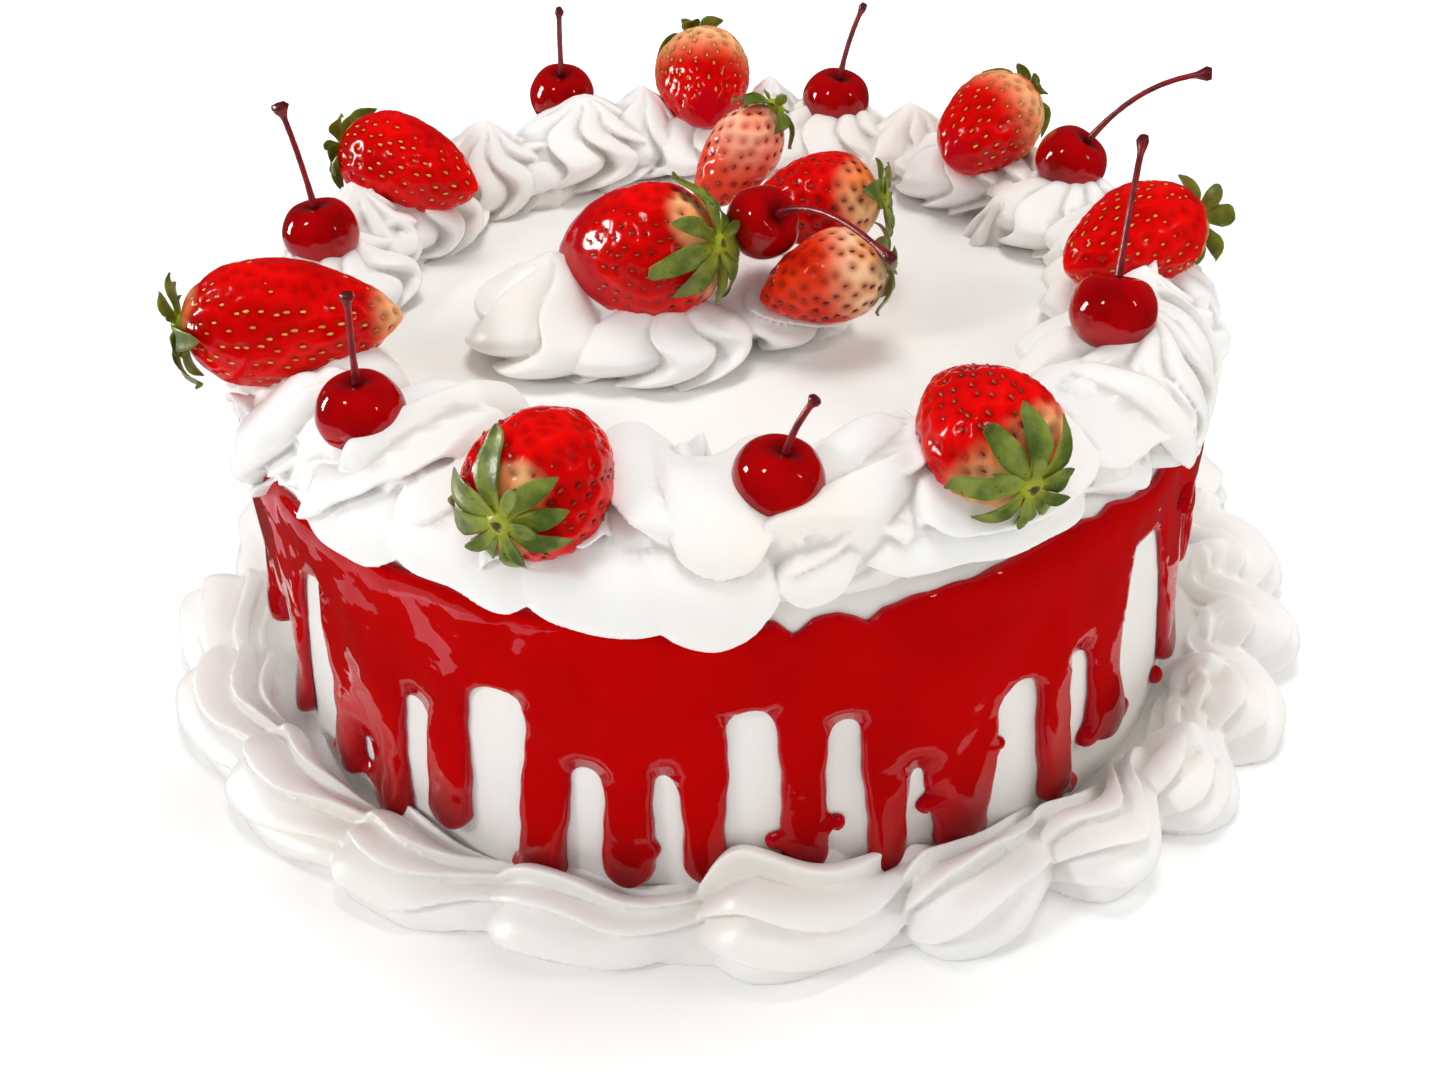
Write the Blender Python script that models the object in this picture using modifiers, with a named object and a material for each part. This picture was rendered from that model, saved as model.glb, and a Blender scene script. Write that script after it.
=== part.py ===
# Strawberry cake: a round frosted cake with a dripping red glaze, piped cream
# borders, a cream mound in the middle, strawberries and cherries.
# Metres, +Z up. The origin is the centre of the cake's flat underside.

import math
import random

import bmesh
import bpy
from mathutils import Matrix, Vector

MM = 0.001
GAP = 0.3 * MM
MERGE_DISTANCE = 0.00005

# Frosted cake
CAKE_RADIUS = 125 * MM
CAKE_HEIGHT = 92 * MM
SHOULDER_RADIUS = 8 * MM
SHOULDER_TURNS = (90, 65, 40, 0)
SEAT_TURNS = (72, 55, 38, 20, 0)
CAKE_SIDES = 64

# Glaze: its sheet lies on the wall and climbs onto the rounded shoulder
GLAZE_THICKNESS = 2.2 * MM
GLAZE_EDGE_THICKNESS = 1.2 * MM
EDGE_RISE = 0.8 * MM
GLAZE_TOP_LIMIT = 40
DRIP_END_BULGE = 1.6 * MM

# Seen drips: angle at the split and at the lower end in degrees, width and height of the end in mm
DRIPS = (
    (-161, -162, 10, 27),
    (-149.5, -154.2, 10.5, 6),
    (-139, -140.2, 10.5, 9),
    (-131, -132.6, 13.5, 4),
    (-121.8, -123.3, 12, 13),
    (-109.8, -111.5, 12.5, 5),
    (-101, -101.7, 12, 10),
    (-93.3, -93.5, 9.8, 13),
    (-83, -82.8, 10.5, 15),
    (-74.2, -73.7, 9.4, 6),
    (-65.4, -65, 14, 9),
    (-53.3, -51.6, 11, 9),
    (-44.6, -43, 14, 19),
    (-28, -23, 11, 12),
    (-17, -13, 9, 33),
)
# Where the sheet splits after each drip of the list above: angle in degrees and height in mm
SPLITS = (
    (-155.7, 46), (-143, 69), (-135.9, 28.5), (-126.1, 52), (-115.5, 63), (-104.9, 46), (-97, 48.5),
    (-87.8, 64.5), (-79.1, 60), (-70.4, 44.5), (-57.6, 55), (-49.2, 55), (-35.4, 74), (-20.5, 66), (-9, 60),
)
SPLIT_DROP = 5 * MM
LEAST_DRIP = 3 * MM
DRIP_FLARE = 1.12
DRIP_FLAT = 0.45
DRIP_ROUND = 0.45
DRIP_LEAN = 0.4

# Unseen drips round the back: how many, and the ranges of their width, end and split in mm
UNSEEN_DRIPS = 15
UNSEEN_START = -18
UNSEEN_WIDTH = (8.5, 12)
UNSEEN_END = (14, 30)
UNSEEN_SPLIT = (44, 66)
UNSEEN_SHIFT = 1.2
UNSEEN_LEAN = 0.6
DRIP_SEED = 5

# Upper edge of the sheet: angle in degrees, height up the wall and round the shoulder in mm
SHEET_EDGE = (
    (-160, 88), (-120, 88), (-100, 88), (-92, 88), (-87, 88), (-84, 84.5), (-81, 88), (-76.7, 85.5),
    (-72, 88), (-66, 89), (-60, 90.5), (-54, 91), (-46, 89.5), (-40, 87), (-34, 88.5), (-20, 89),
    (20, 88), (90, 88), (150, 88), (200, 88),
)

# Top border of piped cream
BORDER_CORE_INNER = 91 * MM
BORDER_CORE_OUTER = 122 * MM
BORDER_CORE_HEIGHT = 8 * MM
BORDER_CORE_SINK = 4 * MM
CORE_EDGE = 2 * MM
DROOP_START = 114 * MM
DROOP_RATE = 20
DROOP_LIMIT = 5.5 * MM
SPREAD_LIMIT = 130 * MM
SPREAD_SHARE = 0.55
HANG_START = 112 * MM
HANG_END = 128 * MM
BORDER_TRIANGLES = 3500
SOCKET_CLEARANCE = 1.1 * MM

# How far the border's rim hangs over the edge besides: angle in degrees, drop in mm
RIM_HANG = (
    (-180, 5), (-165, 8), (-152, 6), (-144, 4), (-135, 2.5), (-116, 0.5), (-110, 1.5), (-106, 6.5),
    (-101, 5), (-93, 9), (-88.7, 7), (-85, 2.5), (-80, 1), (-60, 0), (-40, 0), (-30, -1), (-15, -3),
    (0, 0), (30, 4), (90, 5), (150, 5), (180, 5),
)

# Base border of piped shells: start angle and length in degrees, head radius, tail radius and ring
# radius in mm, sway in mm, twist in degrees, height as a share of the width
SHELLS = (
    (-182, 27, 15, 7, 142.5, 3, 35, 0.8),
    (-167, 27, 15, 7, 142.5, 3, 30, 0.8),
    (-151, 28, 14.5, 6.5, 139, 3, 30, 0.8),
    (-132.5, 27, 14.5, 6.5, 134.5, 3, 30, 0.8),
    (-115, 30, 14.5, 6, 131.5, 3, 25, 0.8),
    (-92.5, 27, 16, 6.5, 131, 3.5, 35, 1.05),
    (-73, 22, 15.5, 7, 134, 3.5, 45, 1),
    (-57, 20, 15, 7, 138.5, 4, 55, 1),
    (-44, 19, 15, 7, 141, 4, 60, 0.9),
    (-31, 18, 14.5, 7, 142.5, 4, 70, 0.9),
    (-18, 18, 14.5, 7, 143.5, 4, 60, 0.9),
    (-5, 20, 14.5, 7, 144, 4, 60, 0.9),
    (11, 24, 14.5, 6.5, 143, 4, 50, 0.85),
    (30, 27, 14.5, 6.5, 141, 3, 40, 0.8),
    (51, 27, 15, 7, 140.5, 3, 35, 0.8),
    (72, 27, 14.5, 7, 140.5, 3, 30, 0.8),
    (93, 27, 15, 7, 141, 3, 35, 0.8),
    (114, 27, 14.5, 7, 141, 3, 30, 0.8),
    (134.6, 27, 15, 7, 141.5, 3, 35, 0.8),
    (156, 27, 14.5, 7, 142, 3, 30, 0.8),
)
SHELL_ROWS = 5
SHELL_HEAD = 0.16
SHELL_LIFT = 0.42
SHELL_RIDGES = 6
SHELL_DEPTH = 0.3
SHELL_BLUNTNESS = 0.3
SHELL_LEAN = 0.3
SHELL_SWAY_TURNS = 0.9
SHELL_SWAY_START = 0.2
SHELL_TUCK = 2
SHELL_SEED = 11
# Ruffled swirls on the base border: ring angle in degrees, ring radius, radius and height in mm,
# ridges, twist in degrees
BASE_SWIRLS = (
    (-37, 143, 12.5, 20, 6, 80),
    (-24, 139, 11.5, 18, 6, 90),
    (-13, 144.5, 11.5, 17, 6, 80),
    (-2, 141, 12, 18, 6, 85),
    (9, 144.5, 11.5, 17, 6, 90),
    (20, 141, 11.5, 17, 6, 80),
)
BASE_TRIANGLES = 1640
BASE_CORE_INNER = 122 * MM
BASE_CORE_OUTER = 141 * MM
BASE_CORE_HEIGHT = 6 * MM
BASE_CORE_SINK = 2 * MM

# Fruit: centre in mm, direction of the tip, length and width in mm, sepals, first sepal's angle
STRAWBERRIES = (
    ((-102, -39, 116), (54, 2, 0), 52, 31, 7, 20),
    ((-86.5, 54.5, 113.5), (42, -27, -4), 47, 27, 6, 50),
    ((-3, 106, 116), (3, -36, -12), 38, 28.5, 6, 0),
    ((78, 67, 115), (-27, -29, -7), 39, 27, 6, 30),
    ((104.5, -7, 114), (-39, -27, 0), 46, 28, 7, 10),
    ((55.2, -94.5, 114.5), (-13.6, 37.6, 3), 39, 31, 8, 10),
    ((-37.3, -105.5, 113.7), (15, 36.8, -3), 39, 31.5, 8, 30),
    ((-21.5, -9.5, 116), (-39, 20.5, -14), 48, 34.5, 8, 15),
    ((5, 36, 121), (-20, -10, -22), 33, 20, 5, 0),
    ((25.8, 22, 114.5), (-30, 6, -4), 35, 26, 6, 30),
    ((25.5, -16, 110.5), (-30, -2, -8), 33, 23, 6, 10),
)
BERRY_SIDES = 10
BERRY_ROWS = 6
BERRY_WIDEST = 0.36
CONE_FULLNESS = 1.9
TIP_BLUNTNESS = 0.72

# Sepals: thickness, radius and lifts in mm, and shares of the berry's half width
SEPAL_THICKNESS = 0.7 * MM
SEPAL_REACH = (0.82, 1.02)
SEPAL_MIDDLE = 0.55
SEPAL_SPREAD = 0.3
SEPAL_SHIFT = 0.12
SEPAL_LIFT = (2.2, 4)
SEPAL_ROOT_LIFT = 1.4 * MM
SEPAL_ROOT_RADIUS = 2.6 * MM
SEPAL_SIDE_LIFTS = (1.9 * MM, 2.3 * MM)
SEPAL_EDGE = 0.96

# Cherries: centre and stem's far end in mm, diameter in mm
CHERRIES = (
    ((-105.6, 15.7, 113), (-111.5, 19, 147.5), 20),
    ((-47, 108, 113), (-45, 98, 143), 20),
    ((37, 99.4, 112.3), (44.5, 94, 143), 20),
    ((99.2, 46.6, 113), (133, 39, 140), 20),
    ((91.6, -48.6, 117.2), (100, -25, 150), 20.7),
    ((10.8, -109, 113), (18.5, -110, 133), 20),
    ((-80.7, -76.9, 113), (-79.5, -76, 142), 20.5),
    ((11.2, -6.5, 122.4), (40.5, -42, 128), 19),
)
CHERRY_SIDES = 10
CHERRY_ROWS = 6
CHERRY_FLATNESS = 0.94
DIMPLE_FROM = 0.45
DIMPLE_HEIGHT = 0.36
CHERRY_UPRIGHT = 0.6
STEM_CLEARANCE = 0.9 * MM
STEM_BEND = 0.5
STEM_STEPS = 5
STEM_RADIUS = 0.9 * MM
STEM_KNOB_RADIUS = 1.7 * MM

# Cream dollops of the top border: ring angle in degrees, ring radius, radius and height in mm,
# ridges, twist in degrees
DOLLOPS = (
    (201, 107, 24, 20, 8, 70),
    (171.5, 107, 23, 21, 8, 75),
    (147.7, 106, 24, 20, 8, 75),
    (113.5, 107, 24, 24, 8, 75),
    (91.6, 107, 23, 22, 8, 70),
    (69.6, 106, 22.5, 22, 8, 75),
    (45, 104, 22, 20, 8, 75),
    (24, 107, 22, 20, 8, 70),
    (-3.2, 106, 24, 20, 8, 75),
    (-26, 106, 27, 25, 8, 70),
    (-57, 105, 23, 17, 6, 110),
    (-84.3, 107, 24, 17, 6, 110),
    (-110, 107, 23, 17, 6, 105),
    (-135, 108, 24, 19, 7, 90),
    (186, 107, 17, 22, 6, 65),
    (159.5, 106, 16, 23, 6, 65),
    (130.5, 106, 19, 22, 7, 70),
    (102, 107, 17, 22, 6, 65),
    (80.5, 107, 17, 23, 6, 65),
    (57, 106, 16, 21, 6, 65),
    (10.5, 106, 17, 22, 6, 65),
    (-14, 108, 18, 22, 6, 60),
    (-42, 106, 19, 20, 6, 65),
    (-71, 107, 17, 16, 6, 65),
    (-97, 107, 17, 17, 6, 65),
    (-122.5, 108, 18, 18, 6, 65),
    (-148, 107, 19, 20, 6, 65),
)
DOLLOP_SEED = 3
DOLLOP_ROWS = 4
DOLLOP_FOOT = 2.5 * MM
DOLLOP_FOOT_REACH = 0.72
DOLLOP_FULLNESS = 0.6
DOLLOP_RISE = 0.85
DOLLOP_TURNING = 1.2
RIDGE_DEPTH = 0.24
RIDGE_FADE = 0.4
RIDGE_LEAN = 0.16
RIDGE_GROWTH = 0.07
VALLEY_BREADTH = 0.7

# Broad strokes at the front of the top border: corners of the line, radius in mm, twist in degrees
STROKES = (
    (((-46, -52, 98), (-70, -72, 103), (-90, -82, 101), (-99, -84, 96)), 14, 80),
    (((-30, -80, 98), (-54, -92, 103), (-60, -108, 99), (-58, -117, 94)), 13, 80),
    (((-8, -82, 99), (-18, -94, 104), (-12, -114, 101), (2, -126, 94)), 14, 90),
    (((44, -82, 100), (32, -98, 105), (14, -116, 101), (-1, -126, 95)), 14, -90),
    (((20, -119, 94), (48, -112, 97), (76, -97, 98), (92, -82, 97)), 11.5, 70),
    (((-76, -40, 98), (-92, -44, 103), (-110, -36, 102), (-121, -25, 95)), 12, -80),
)
STROKE_ROWS = 7
STROKE_RIDGES = 4
STROKE_FLATNESS = 0.85
STROKE_START = 0.2
STROKE_END = 0.3
STROKE_LEAST = 0.05
STROKE_OPENING = 0.5
STROKE_CLOSING = 0.7

# Cream mound under the middle fruit: centre x and y, radius and height in mm, ridges, twist in degrees
MOUND = (
    (-42, -10, 26, 25, 6, 95),
    (-17, -17, 26, 19, 6, 80),
    (12, 0, 24, 15, 6, -65),
)

# Cutters
SEAT_CLEARANCE = 3.6 * GAP
WALL_CLEARANCE = 1.5 * GAP
POCKET_CLEARANCE = 3 * GAP
POCKET_MARGIN = 0.35
POCKET_CORNER = 0.1
WALL_CUT = (-20 * MM, 60 * MM)
FLOOR_SIDE = 500 * MM
FLOOR_DEPTH = 30 * MM

COLOURS = {
    "frosting": (0.93, 0.91, 0.87),
    "cream": (0.95, 0.93, 0.90),
    "glaze": (0.62, 0.005, 0.008),
    "berry": (0.66, 0.03, 0.02),
    "leaf": (0.16, 0.28, 0.05),
    "cherry": (0.42, 0.006, 0.012),
    "stem": (0.22, 0.01, 0.015),
}
ROUGHNESS = {
    "frosting": 0.6,
    "cream": 0.5,
    "glaze": 0.1,
    "berry": 0.25,
    "leaf": 0.5,
    "cherry": 0.12,
    "stem": 0.35,
}


def clear_scene():
    for old in list(bpy.data.objects):
        bpy.data.objects.remove(old, do_unlink=True)


def make_material(name):
    material = bpy.data.materials.new(name)
    material.use_nodes = True
    shader = material.node_tree.nodes["Principled BSDF"]
    shader.inputs["Base Color"].default_value = (*COLOURS[name], 1)
    shader.inputs["Roughness"].default_value = ROUGHNESS[name]
    shader.inputs["Metallic"].default_value = 0
    return material


def new_collection(name):
    collection = bpy.data.collections.new(name)
    bpy.context.scene.collection.children.link(collection)
    return collection


def add_object(name, mesh_data, collection, material=None):
    piece = bpy.data.objects.new(name, mesh_data)
    collection.objects.link(piece)
    if material:
        mesh_data.materials.append(material)
    return piece


def mesh_from(name, bm):
    bmesh.ops.recalc_face_normals(bm, faces=bm.faces)
    mesh_data = bpy.data.meshes.new(name)
    bm.to_mesh(mesh_data)
    bm.free()
    return mesh_data


def ring_point(angle, radius, height):
    return Vector((radius * math.cos(angle), radius * math.sin(angle), height))


def loft(bm, rings, closed=False, peak=None):
    # Joins rings of the same point count; an open loft is closed by flat ends or by a peak
    rows = [[bm.verts.new(point) for point in ring] for ring in rings]
    count = len(rows[0])
    pairs = list(zip(rows, rows[1:]))
    if closed:
        pairs.append((rows[-1], rows[0]))
    for lower, upper in pairs:
        for index in range(count):
            after = (index + 1) % count
            bm.faces.new((lower[index], lower[after], upper[after], upper[index]))
    if closed:
        return
    bm.faces.new(rows[0][::-1])
    if not peak:
        bm.faces.new(rows[-1])
        return
    tip = bm.verts.new(peak)
    for index in range(count):
        bm.faces.new((rows[-1][index], rows[-1][(index + 1) % count], tip))


def turned(name, profile, sides, collection, material=None):
    # A profile of (radius, height) from the top of the axis down its outer side
    bm = bmesh.new()
    points = [bm.verts.new((radius, 0, height)) for radius, height in profile]
    for start, end in zip(points, points[1:]):
        bm.edges.new((start, end))
    bmesh.ops.remove_doubles(bm, verts=bm.verts, dist=MERGE_DISTANCE)
    mesh_data = bpy.data.meshes.new(name)
    bm.to_mesh(mesh_data)
    bm.free()
    piece = add_object(name, mesh_data, collection, material)
    screw = piece.modifiers.new("turn", "SCREW")
    screw.steps = sides
    screw.render_steps = sides
    screw.use_merge_vertices = True
    screw.merge_threshold = MERGE_DISTANCE
    return piece


def read_table(points, angle):
    # The value of a closed table of (angle, value) at one angle, in the table's own units
    for (start, low), (end, high) in zip(points, points[1:]):
        for turned_angle in (angle, angle + 360, angle - 360):
            if start <= turned_angle <= end:
                return low + (high - low) * (turned_angle - start) / (end - start)
    return points[0][1]


def shoulder_point(offset, turn):
    # A point at a distance off the rounded shoulder, 0 degrees at the wall and 90 at the top
    bend = math.radians(turn)
    reach = SHOULDER_RADIUS + offset
    middle_radius = CAKE_RADIUS - SHOULDER_RADIUS
    middle_height = CAKE_HEIGHT - SHOULDER_RADIUS
    return middle_radius + reach * math.cos(bend), middle_height + reach * math.sin(bend)


def sheet_thickness(turn):
    # The sheet thins as it climbs over the shoulder
    return GLAZE_THICKNESS * (1 - 0.5 * min(1, turn / GLAZE_TOP_LIMIT))


def build_cake_body(collection, material):
    profile = [(0, CAKE_HEIGHT)]
    for turn in SHOULDER_TURNS:
        profile.append(shoulder_point(0, turn))
    profile.append((CAKE_RADIUS, 0))
    profile.append((0, 0))
    return turned("cake_body", profile, CAKE_SIDES, collection, material)


def half_turn(width):
    # Half of a width on the wall, in degrees
    return math.degrees(width / 2 / CAKE_RADIUS)


def leaning(high, low, width):
    # A drip's upper and lower angle, with no more lean than its flare leaves room for
    middle = (high + low) / 2
    room = half_turn(width) * (DRIP_FLARE - 1) * DRIP_LEAN
    lean = min(max((low - high) / 2, -room), room)
    return middle - lean, middle + lean


def all_drips():
    # The seen drips and, round the back, more of the same kind: angle at the split, angle at the end,
    # width, end, then angle and height of the split that follows
    drips = []
    for (high, low, width, end), (split_angle, split) in zip(DRIPS, SPLITS):
        drips.append((*leaning(high, low, width * MM), width * MM, end * MM, split_angle, split * MM))
    draw = random.Random(DRIP_SEED)
    step = (360 + DRIPS[0][0] - UNSEEN_START) / (UNSEEN_DRIPS + 1)
    for index in range(1, UNSEEN_DRIPS + 1):
        angle = UNSEEN_START + index * step + draw.uniform(-UNSEEN_SHIFT, UNSEEN_SHIFT)
        width = draw.uniform(*UNSEEN_WIDTH)
        end = draw.uniform(*UNSEEN_END)
        split = draw.uniform(*UNSEEN_SPLIT)
        lean = leaning(angle, angle + UNSEEN_LEAN, width * MM)
        drips.append((*lean, width * MM, end * MM, angle + step / 2, split * MM))
    return drips


def lower_edge(drips):
    # Points of the sheet's lower edge as (angle above, angle, height, bulge): down each drip and up to
    # each split; the angle above is where the same line starts at the sheet's top
    points = []
    for index, (high, low, width, end, split_angle, split) in enumerate(drips):
        half = half_turn(width)
        rise = width * DRIP_ROUND
        least = end + rise + LEAST_DRIP
        left_top = max(drips[index - 1][5] - SPLIT_DROP, least)
        right_top = max(split - SPLIT_DROP, least)
        flare = half * DRIP_FLARE
        points.append((high - flare, high - flare, left_top, 0))
        for side, height in ((-1, end + rise), (-DRIP_FLAT, end), (DRIP_FLAT, end), (1, end + rise)):
            points.append((high + half * side, low + half * side, height, DRIP_END_BULGE))
        points.append((high + flare, high + flare, right_top, 0))
        points.append((split_angle, split_angle, split, 0))
    return points


def sheet_section(above, angle, low, bulge):
    # The sheet's outline along one line: down its outer face and back up its inner face
    top = read_table(SHEET_EDGE, above) * MM
    wall_top = CAKE_HEIGHT - SHOULDER_RADIUS
    turn = math.degrees((top - wall_top) / SHOULDER_RADIUS)
    turn = min(max(turn, 1), GLAZE_TOP_LIMIT)
    head = math.radians(above)
    foot = math.radians(angle)
    outline = [ring_point(head, *shoulder_point(GAP + sheet_thickness(turn), turn))]
    outline.append(ring_point(head, *shoulder_point(GAP + sheet_thickness(0), 0)))
    outline.append(ring_point(foot, CAKE_RADIUS + GAP + GLAZE_EDGE_THICKNESS + bulge, low + EDGE_RISE))
    outline.append(ring_point(foot, CAKE_RADIUS + GAP, low))
    outline.append(ring_point(head, *shoulder_point(GAP, 0)))
    outline.append(ring_point(head, *shoulder_point(GAP, turn)))
    return outline


def build_glaze(collection, material):
    bm = bmesh.new()
    sections = [sheet_section(*point) for point in lower_edge(all_drips())]
    loft(bm, sections, closed=True)
    bmesh.ops.triangulate(bm, faces=bm.faces)
    return add_object("red_glaze", mesh_from("red_glaze", bm), collection, material)


def valley(turn, ridges):
    # 0 on each sharp crest and 1 along the middle of each broad valley
    return abs(math.sin(ridges * turn / 2)) ** VALLEY_BREADTH


def star_radius(turn, ridges, depth):
    return 1 - depth * valley(turn, ridges)


def droop(point):
    # Cream past the cake's edge spreads less and hangs down over the shoulder
    radius = math.hypot(point.x, point.y)
    if radius > DROOP_START:
        point.z -= min(DROOP_LIMIT, DROOP_RATE * (radius - DROOP_START) ** 2)
    share = min(max((radius - HANG_START) / (HANG_END - HANG_START), 0), 1)
    angle = math.degrees(math.atan2(point.y, point.x))
    point.z -= read_table(RIM_HANG, angle) * MM * share * share * (3 - 2 * share)
    if radius > SPREAD_LIMIT:
        spread = SPREAD_LIMIT + (radius - SPREAD_LIMIT) * SPREAD_SHARE
        point.x *= spread / radius
        point.y *= spread / radius
    return point


def closed_shape(name, rings, collection, peak=None):
    bm = bmesh.new()
    loft(bm, rings, peak=peak)
    bmesh.ops.triangulate(bm, faces=bm.faces)
    return add_object(name, mesh_from(name, bm), collection)


def dollop(name, centre, radius, height, ridges, twist, draw, collection, hanging=False):
    # A star-piped dollop: its ridges rise from the foot and turn towards the peak
    count = ridges * 2
    phase = draw.uniform(0, math.tau)
    growth = [1 + draw.uniform(-RIDGE_GROWTH, RIDGE_GROWTH) for _ in range(ridges)]
    rings = []
    profile = [(DOLLOP_FOOT_REACH, -DOLLOP_FOOT / height, 0)]
    for row in range(DOLLOP_ROWS):
        rise = row / DOLLOP_ROWS
        profile.append((math.cos(rise * math.pi / 2) ** DOLLOP_FULLNESS, rise ** DOLLOP_RISE, rise))
    for reach, lift, rise in profile:
        ring = []
        for index in range(count):
            turn = math.tau * index / count
            size = radius * reach * star_radius(turn, ridges, RIDGE_DEPTH * (1 - RIDGE_FADE * rise))
            if index % 2 == 0:
                size *= growth[index // 2]
            lean = RIDGE_LEAN * (1 - valley(turn, ridges))
            swing = turn + lean + phase + math.radians(twist) * rise ** DOLLOP_TURNING
            offset = Vector((size * math.cos(swing), size * math.sin(swing), lift * height))
            point = Vector(centre) + offset
            ring.append(droop(point) if hanging else point)
        rings.append(ring)
    return closed_shape(name, rings, collection, Vector(centre) + Vector((0, 0, height)))


def smooth_line(corners, steps):
    # A rounded line through four corners (Catmull-Rom)
    corners = [Vector(corner) * MM for corner in corners]
    padded = [corners[0] * 2 - corners[1], *corners, corners[-1] * 2 - corners[-2]]
    line = []
    for step in range(steps + 1):
        place = step / steps * (len(corners) - 1)
        index = min(int(place), len(corners) - 2)
        share = place - index
        before, start, end, after = padded[index:index + 4]
        bend = start * 2 + (end - before) * share
        bend += (before * 2 - start * 5 + end * 4 - after) * share ** 2
        bend += (start * 3 - before - end * 3 + after) * share ** 3
        line.append(bend / 2)
    return line


def stroke(name, corners, radius, twist, collection):
    # A broad ridged stroke along a line, thin where the nozzle set down and where it left
    line = smooth_line(corners, STROKE_ROWS)
    count = STROKE_RIDGES * 2
    rings = []
    for row, middle in enumerate(line):
        share = row / STROKE_ROWS
        opening = min(1, max(share / STROKE_START, STROKE_LEAST)) ** STROKE_OPENING
        closing = min(1, max((1 - share) / STROKE_END, STROKE_LEAST)) ** STROKE_CLOSING
        ahead = (line[min(row + 1, STROKE_ROWS)] - line[max(row - 1, 0)]).normalized()
        side = ahead.cross(Vector((0, 0, 1))).normalized()
        top = side.cross(ahead)
        ring = []
        for index in range(count):
            turn = math.tau * index / count
            reach = radius * opening * closing * star_radius(turn, STROKE_RIDGES, RIDGE_DEPTH)
            swing = turn + math.radians(twist) * share
            across = side * reach * math.cos(swing) + top * reach * STROKE_FLATNESS * math.sin(swing)
            ring.append(droop(middle + across))
        rings.append(ring)
    return closed_shape(name, rings, collection)


def shell(name, start, length, radius, tail, ring_radius, sway, twist, flat, draw, collection):
    # A piped shell that starts fat, sways outwards and thins to its tail along the ring
    count = SHELL_RIDGES * 2
    lean = draw.uniform(-SHELL_LEAN, SHELL_LEAN)
    rings = []
    for row in range(SHELL_ROWS + 1):
        along = row / SHELL_ROWS
        if along < SHELL_HEAD:
            body = math.sqrt(SHELL_BLUNTNESS + (1 - SHELL_BLUNTNESS) * along / SHELL_HEAD)
        else:
            body = 1 - (1 - tail / radius) * (along - SHELL_HEAD) / (1 - SHELL_HEAD)
        size = radius * body * MM
        bend = math.radians(start + length * along)
        wave = sway * math.sin(math.tau * along * SHELL_SWAY_TURNS - SHELL_SWAY_START)
        reach_out = ring_radius + wave - (1 - body) * SHELL_TUCK
        middle = ring_point(bend, reach_out * MM, size * SHELL_LIFT * flat)
        outward = Vector((math.cos(bend), math.sin(bend), 0))
        ring = []
        for index in range(count):
            turn = math.tau * index / count
            reach = size * star_radius(turn, SHELL_RIDGES, SHELL_DEPTH)
            swing = turn + lean + math.radians(twist) * along
            rise = Vector((0, 0, flat * reach * math.sin(swing)))
            ring.append(middle + outward * reach * math.cos(swing) + rise)
        rings.append(ring)
    return closed_shape(name, rings, collection)


def apply_modifiers(piece):
    bpy.context.view_layer.update()
    evaluated = piece.evaluated_get(bpy.context.evaluated_depsgraph_get())
    result = bpy.data.meshes.new_from_object(evaluated)
    piece.modifiers.clear()
    piece.data = result


def boolean(piece, operation, collection):
    cut = piece.modifiers.new(operation.lower(), "BOOLEAN")
    cut.operation = operation
    cut.operand_type = "COLLECTION"
    cut.collection = collection
    cut.solver = "EXACT"
    apply_modifiers(piece)


def thin_out(piece, triangles):
    # Collapses the slivers that a union leaves
    thin = piece.modifiers.new("thin", "DECIMATE")
    thin.ratio = triangles / sum(len(face.vertices) - 2 for face in piece.data.polygons)
    thin.use_collapse_triangulate = True
    apply_modifiers(piece)


def empty_collection(collection):
    for used in list(collection.objects):
        bpy.data.objects.remove(used, do_unlink=True)
    bpy.data.collections.remove(collection)


def cut_away(piece, cutters):
    # Cuts a piece by all the cutters of a collection, which then goes
    cutters.hide_render = True
    for cutter in cutters.objects:
        cutter.hide_render = True
        cutter.display_type = "WIRE"
    boolean(piece, "DIFFERENCE", cutters)
    empty_collection(cutters)


def keep_largest(piece):
    # Drops the loose scraps and the flaps that a cut leaves
    bm = bmesh.new()
    bm.from_mesh(piece.data)
    bmesh.ops.remove_doubles(bm, verts=bm.verts, dist=MERGE_DISTANCE / 5)
    left = set(bm.verts)
    islands = []
    while left:
        stack = [left.pop()]
        island = set(stack)
        while stack:
            for edge in stack.pop().link_edges:
                for vertex in edge.verts:
                    if vertex in left:
                        left.remove(vertex)
                        island.add(vertex)
                        stack.append(vertex)
        islands.append(island)
    islands.sort(key=len)
    for island in islands[:-1]:
        bmesh.ops.delete(bm, geom=list(island), context="VERTS")
    flaps = [face for face in bm.faces if any(edge.is_boundary for edge in face.edges)]
    bmesh.ops.delete(bm, geom=flaps, context="FACES")
    bmesh.ops.triangulate(bm, faces=bm.faces)
    bm.to_mesh(piece.data)
    bm.free()


def seat_cutter(collection):
    # The cake with its glaze and the gap: what the top border is shaped to
    profile = [(0, CAKE_HEIGHT + GAP)]
    profile.append(shoulder_point(GAP, 90))
    for turn in SEAT_TURNS:
        profile.append(shoulder_point(SEAT_CLEARANCE + sheet_thickness(turn), turn))
    profile.append((profile[-1][0], CAKE_HEIGHT * 0.5))
    profile.append((0, CAKE_HEIGHT * 0.5))
    return turned("seat", profile, CAKE_SIDES, collection)


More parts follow.
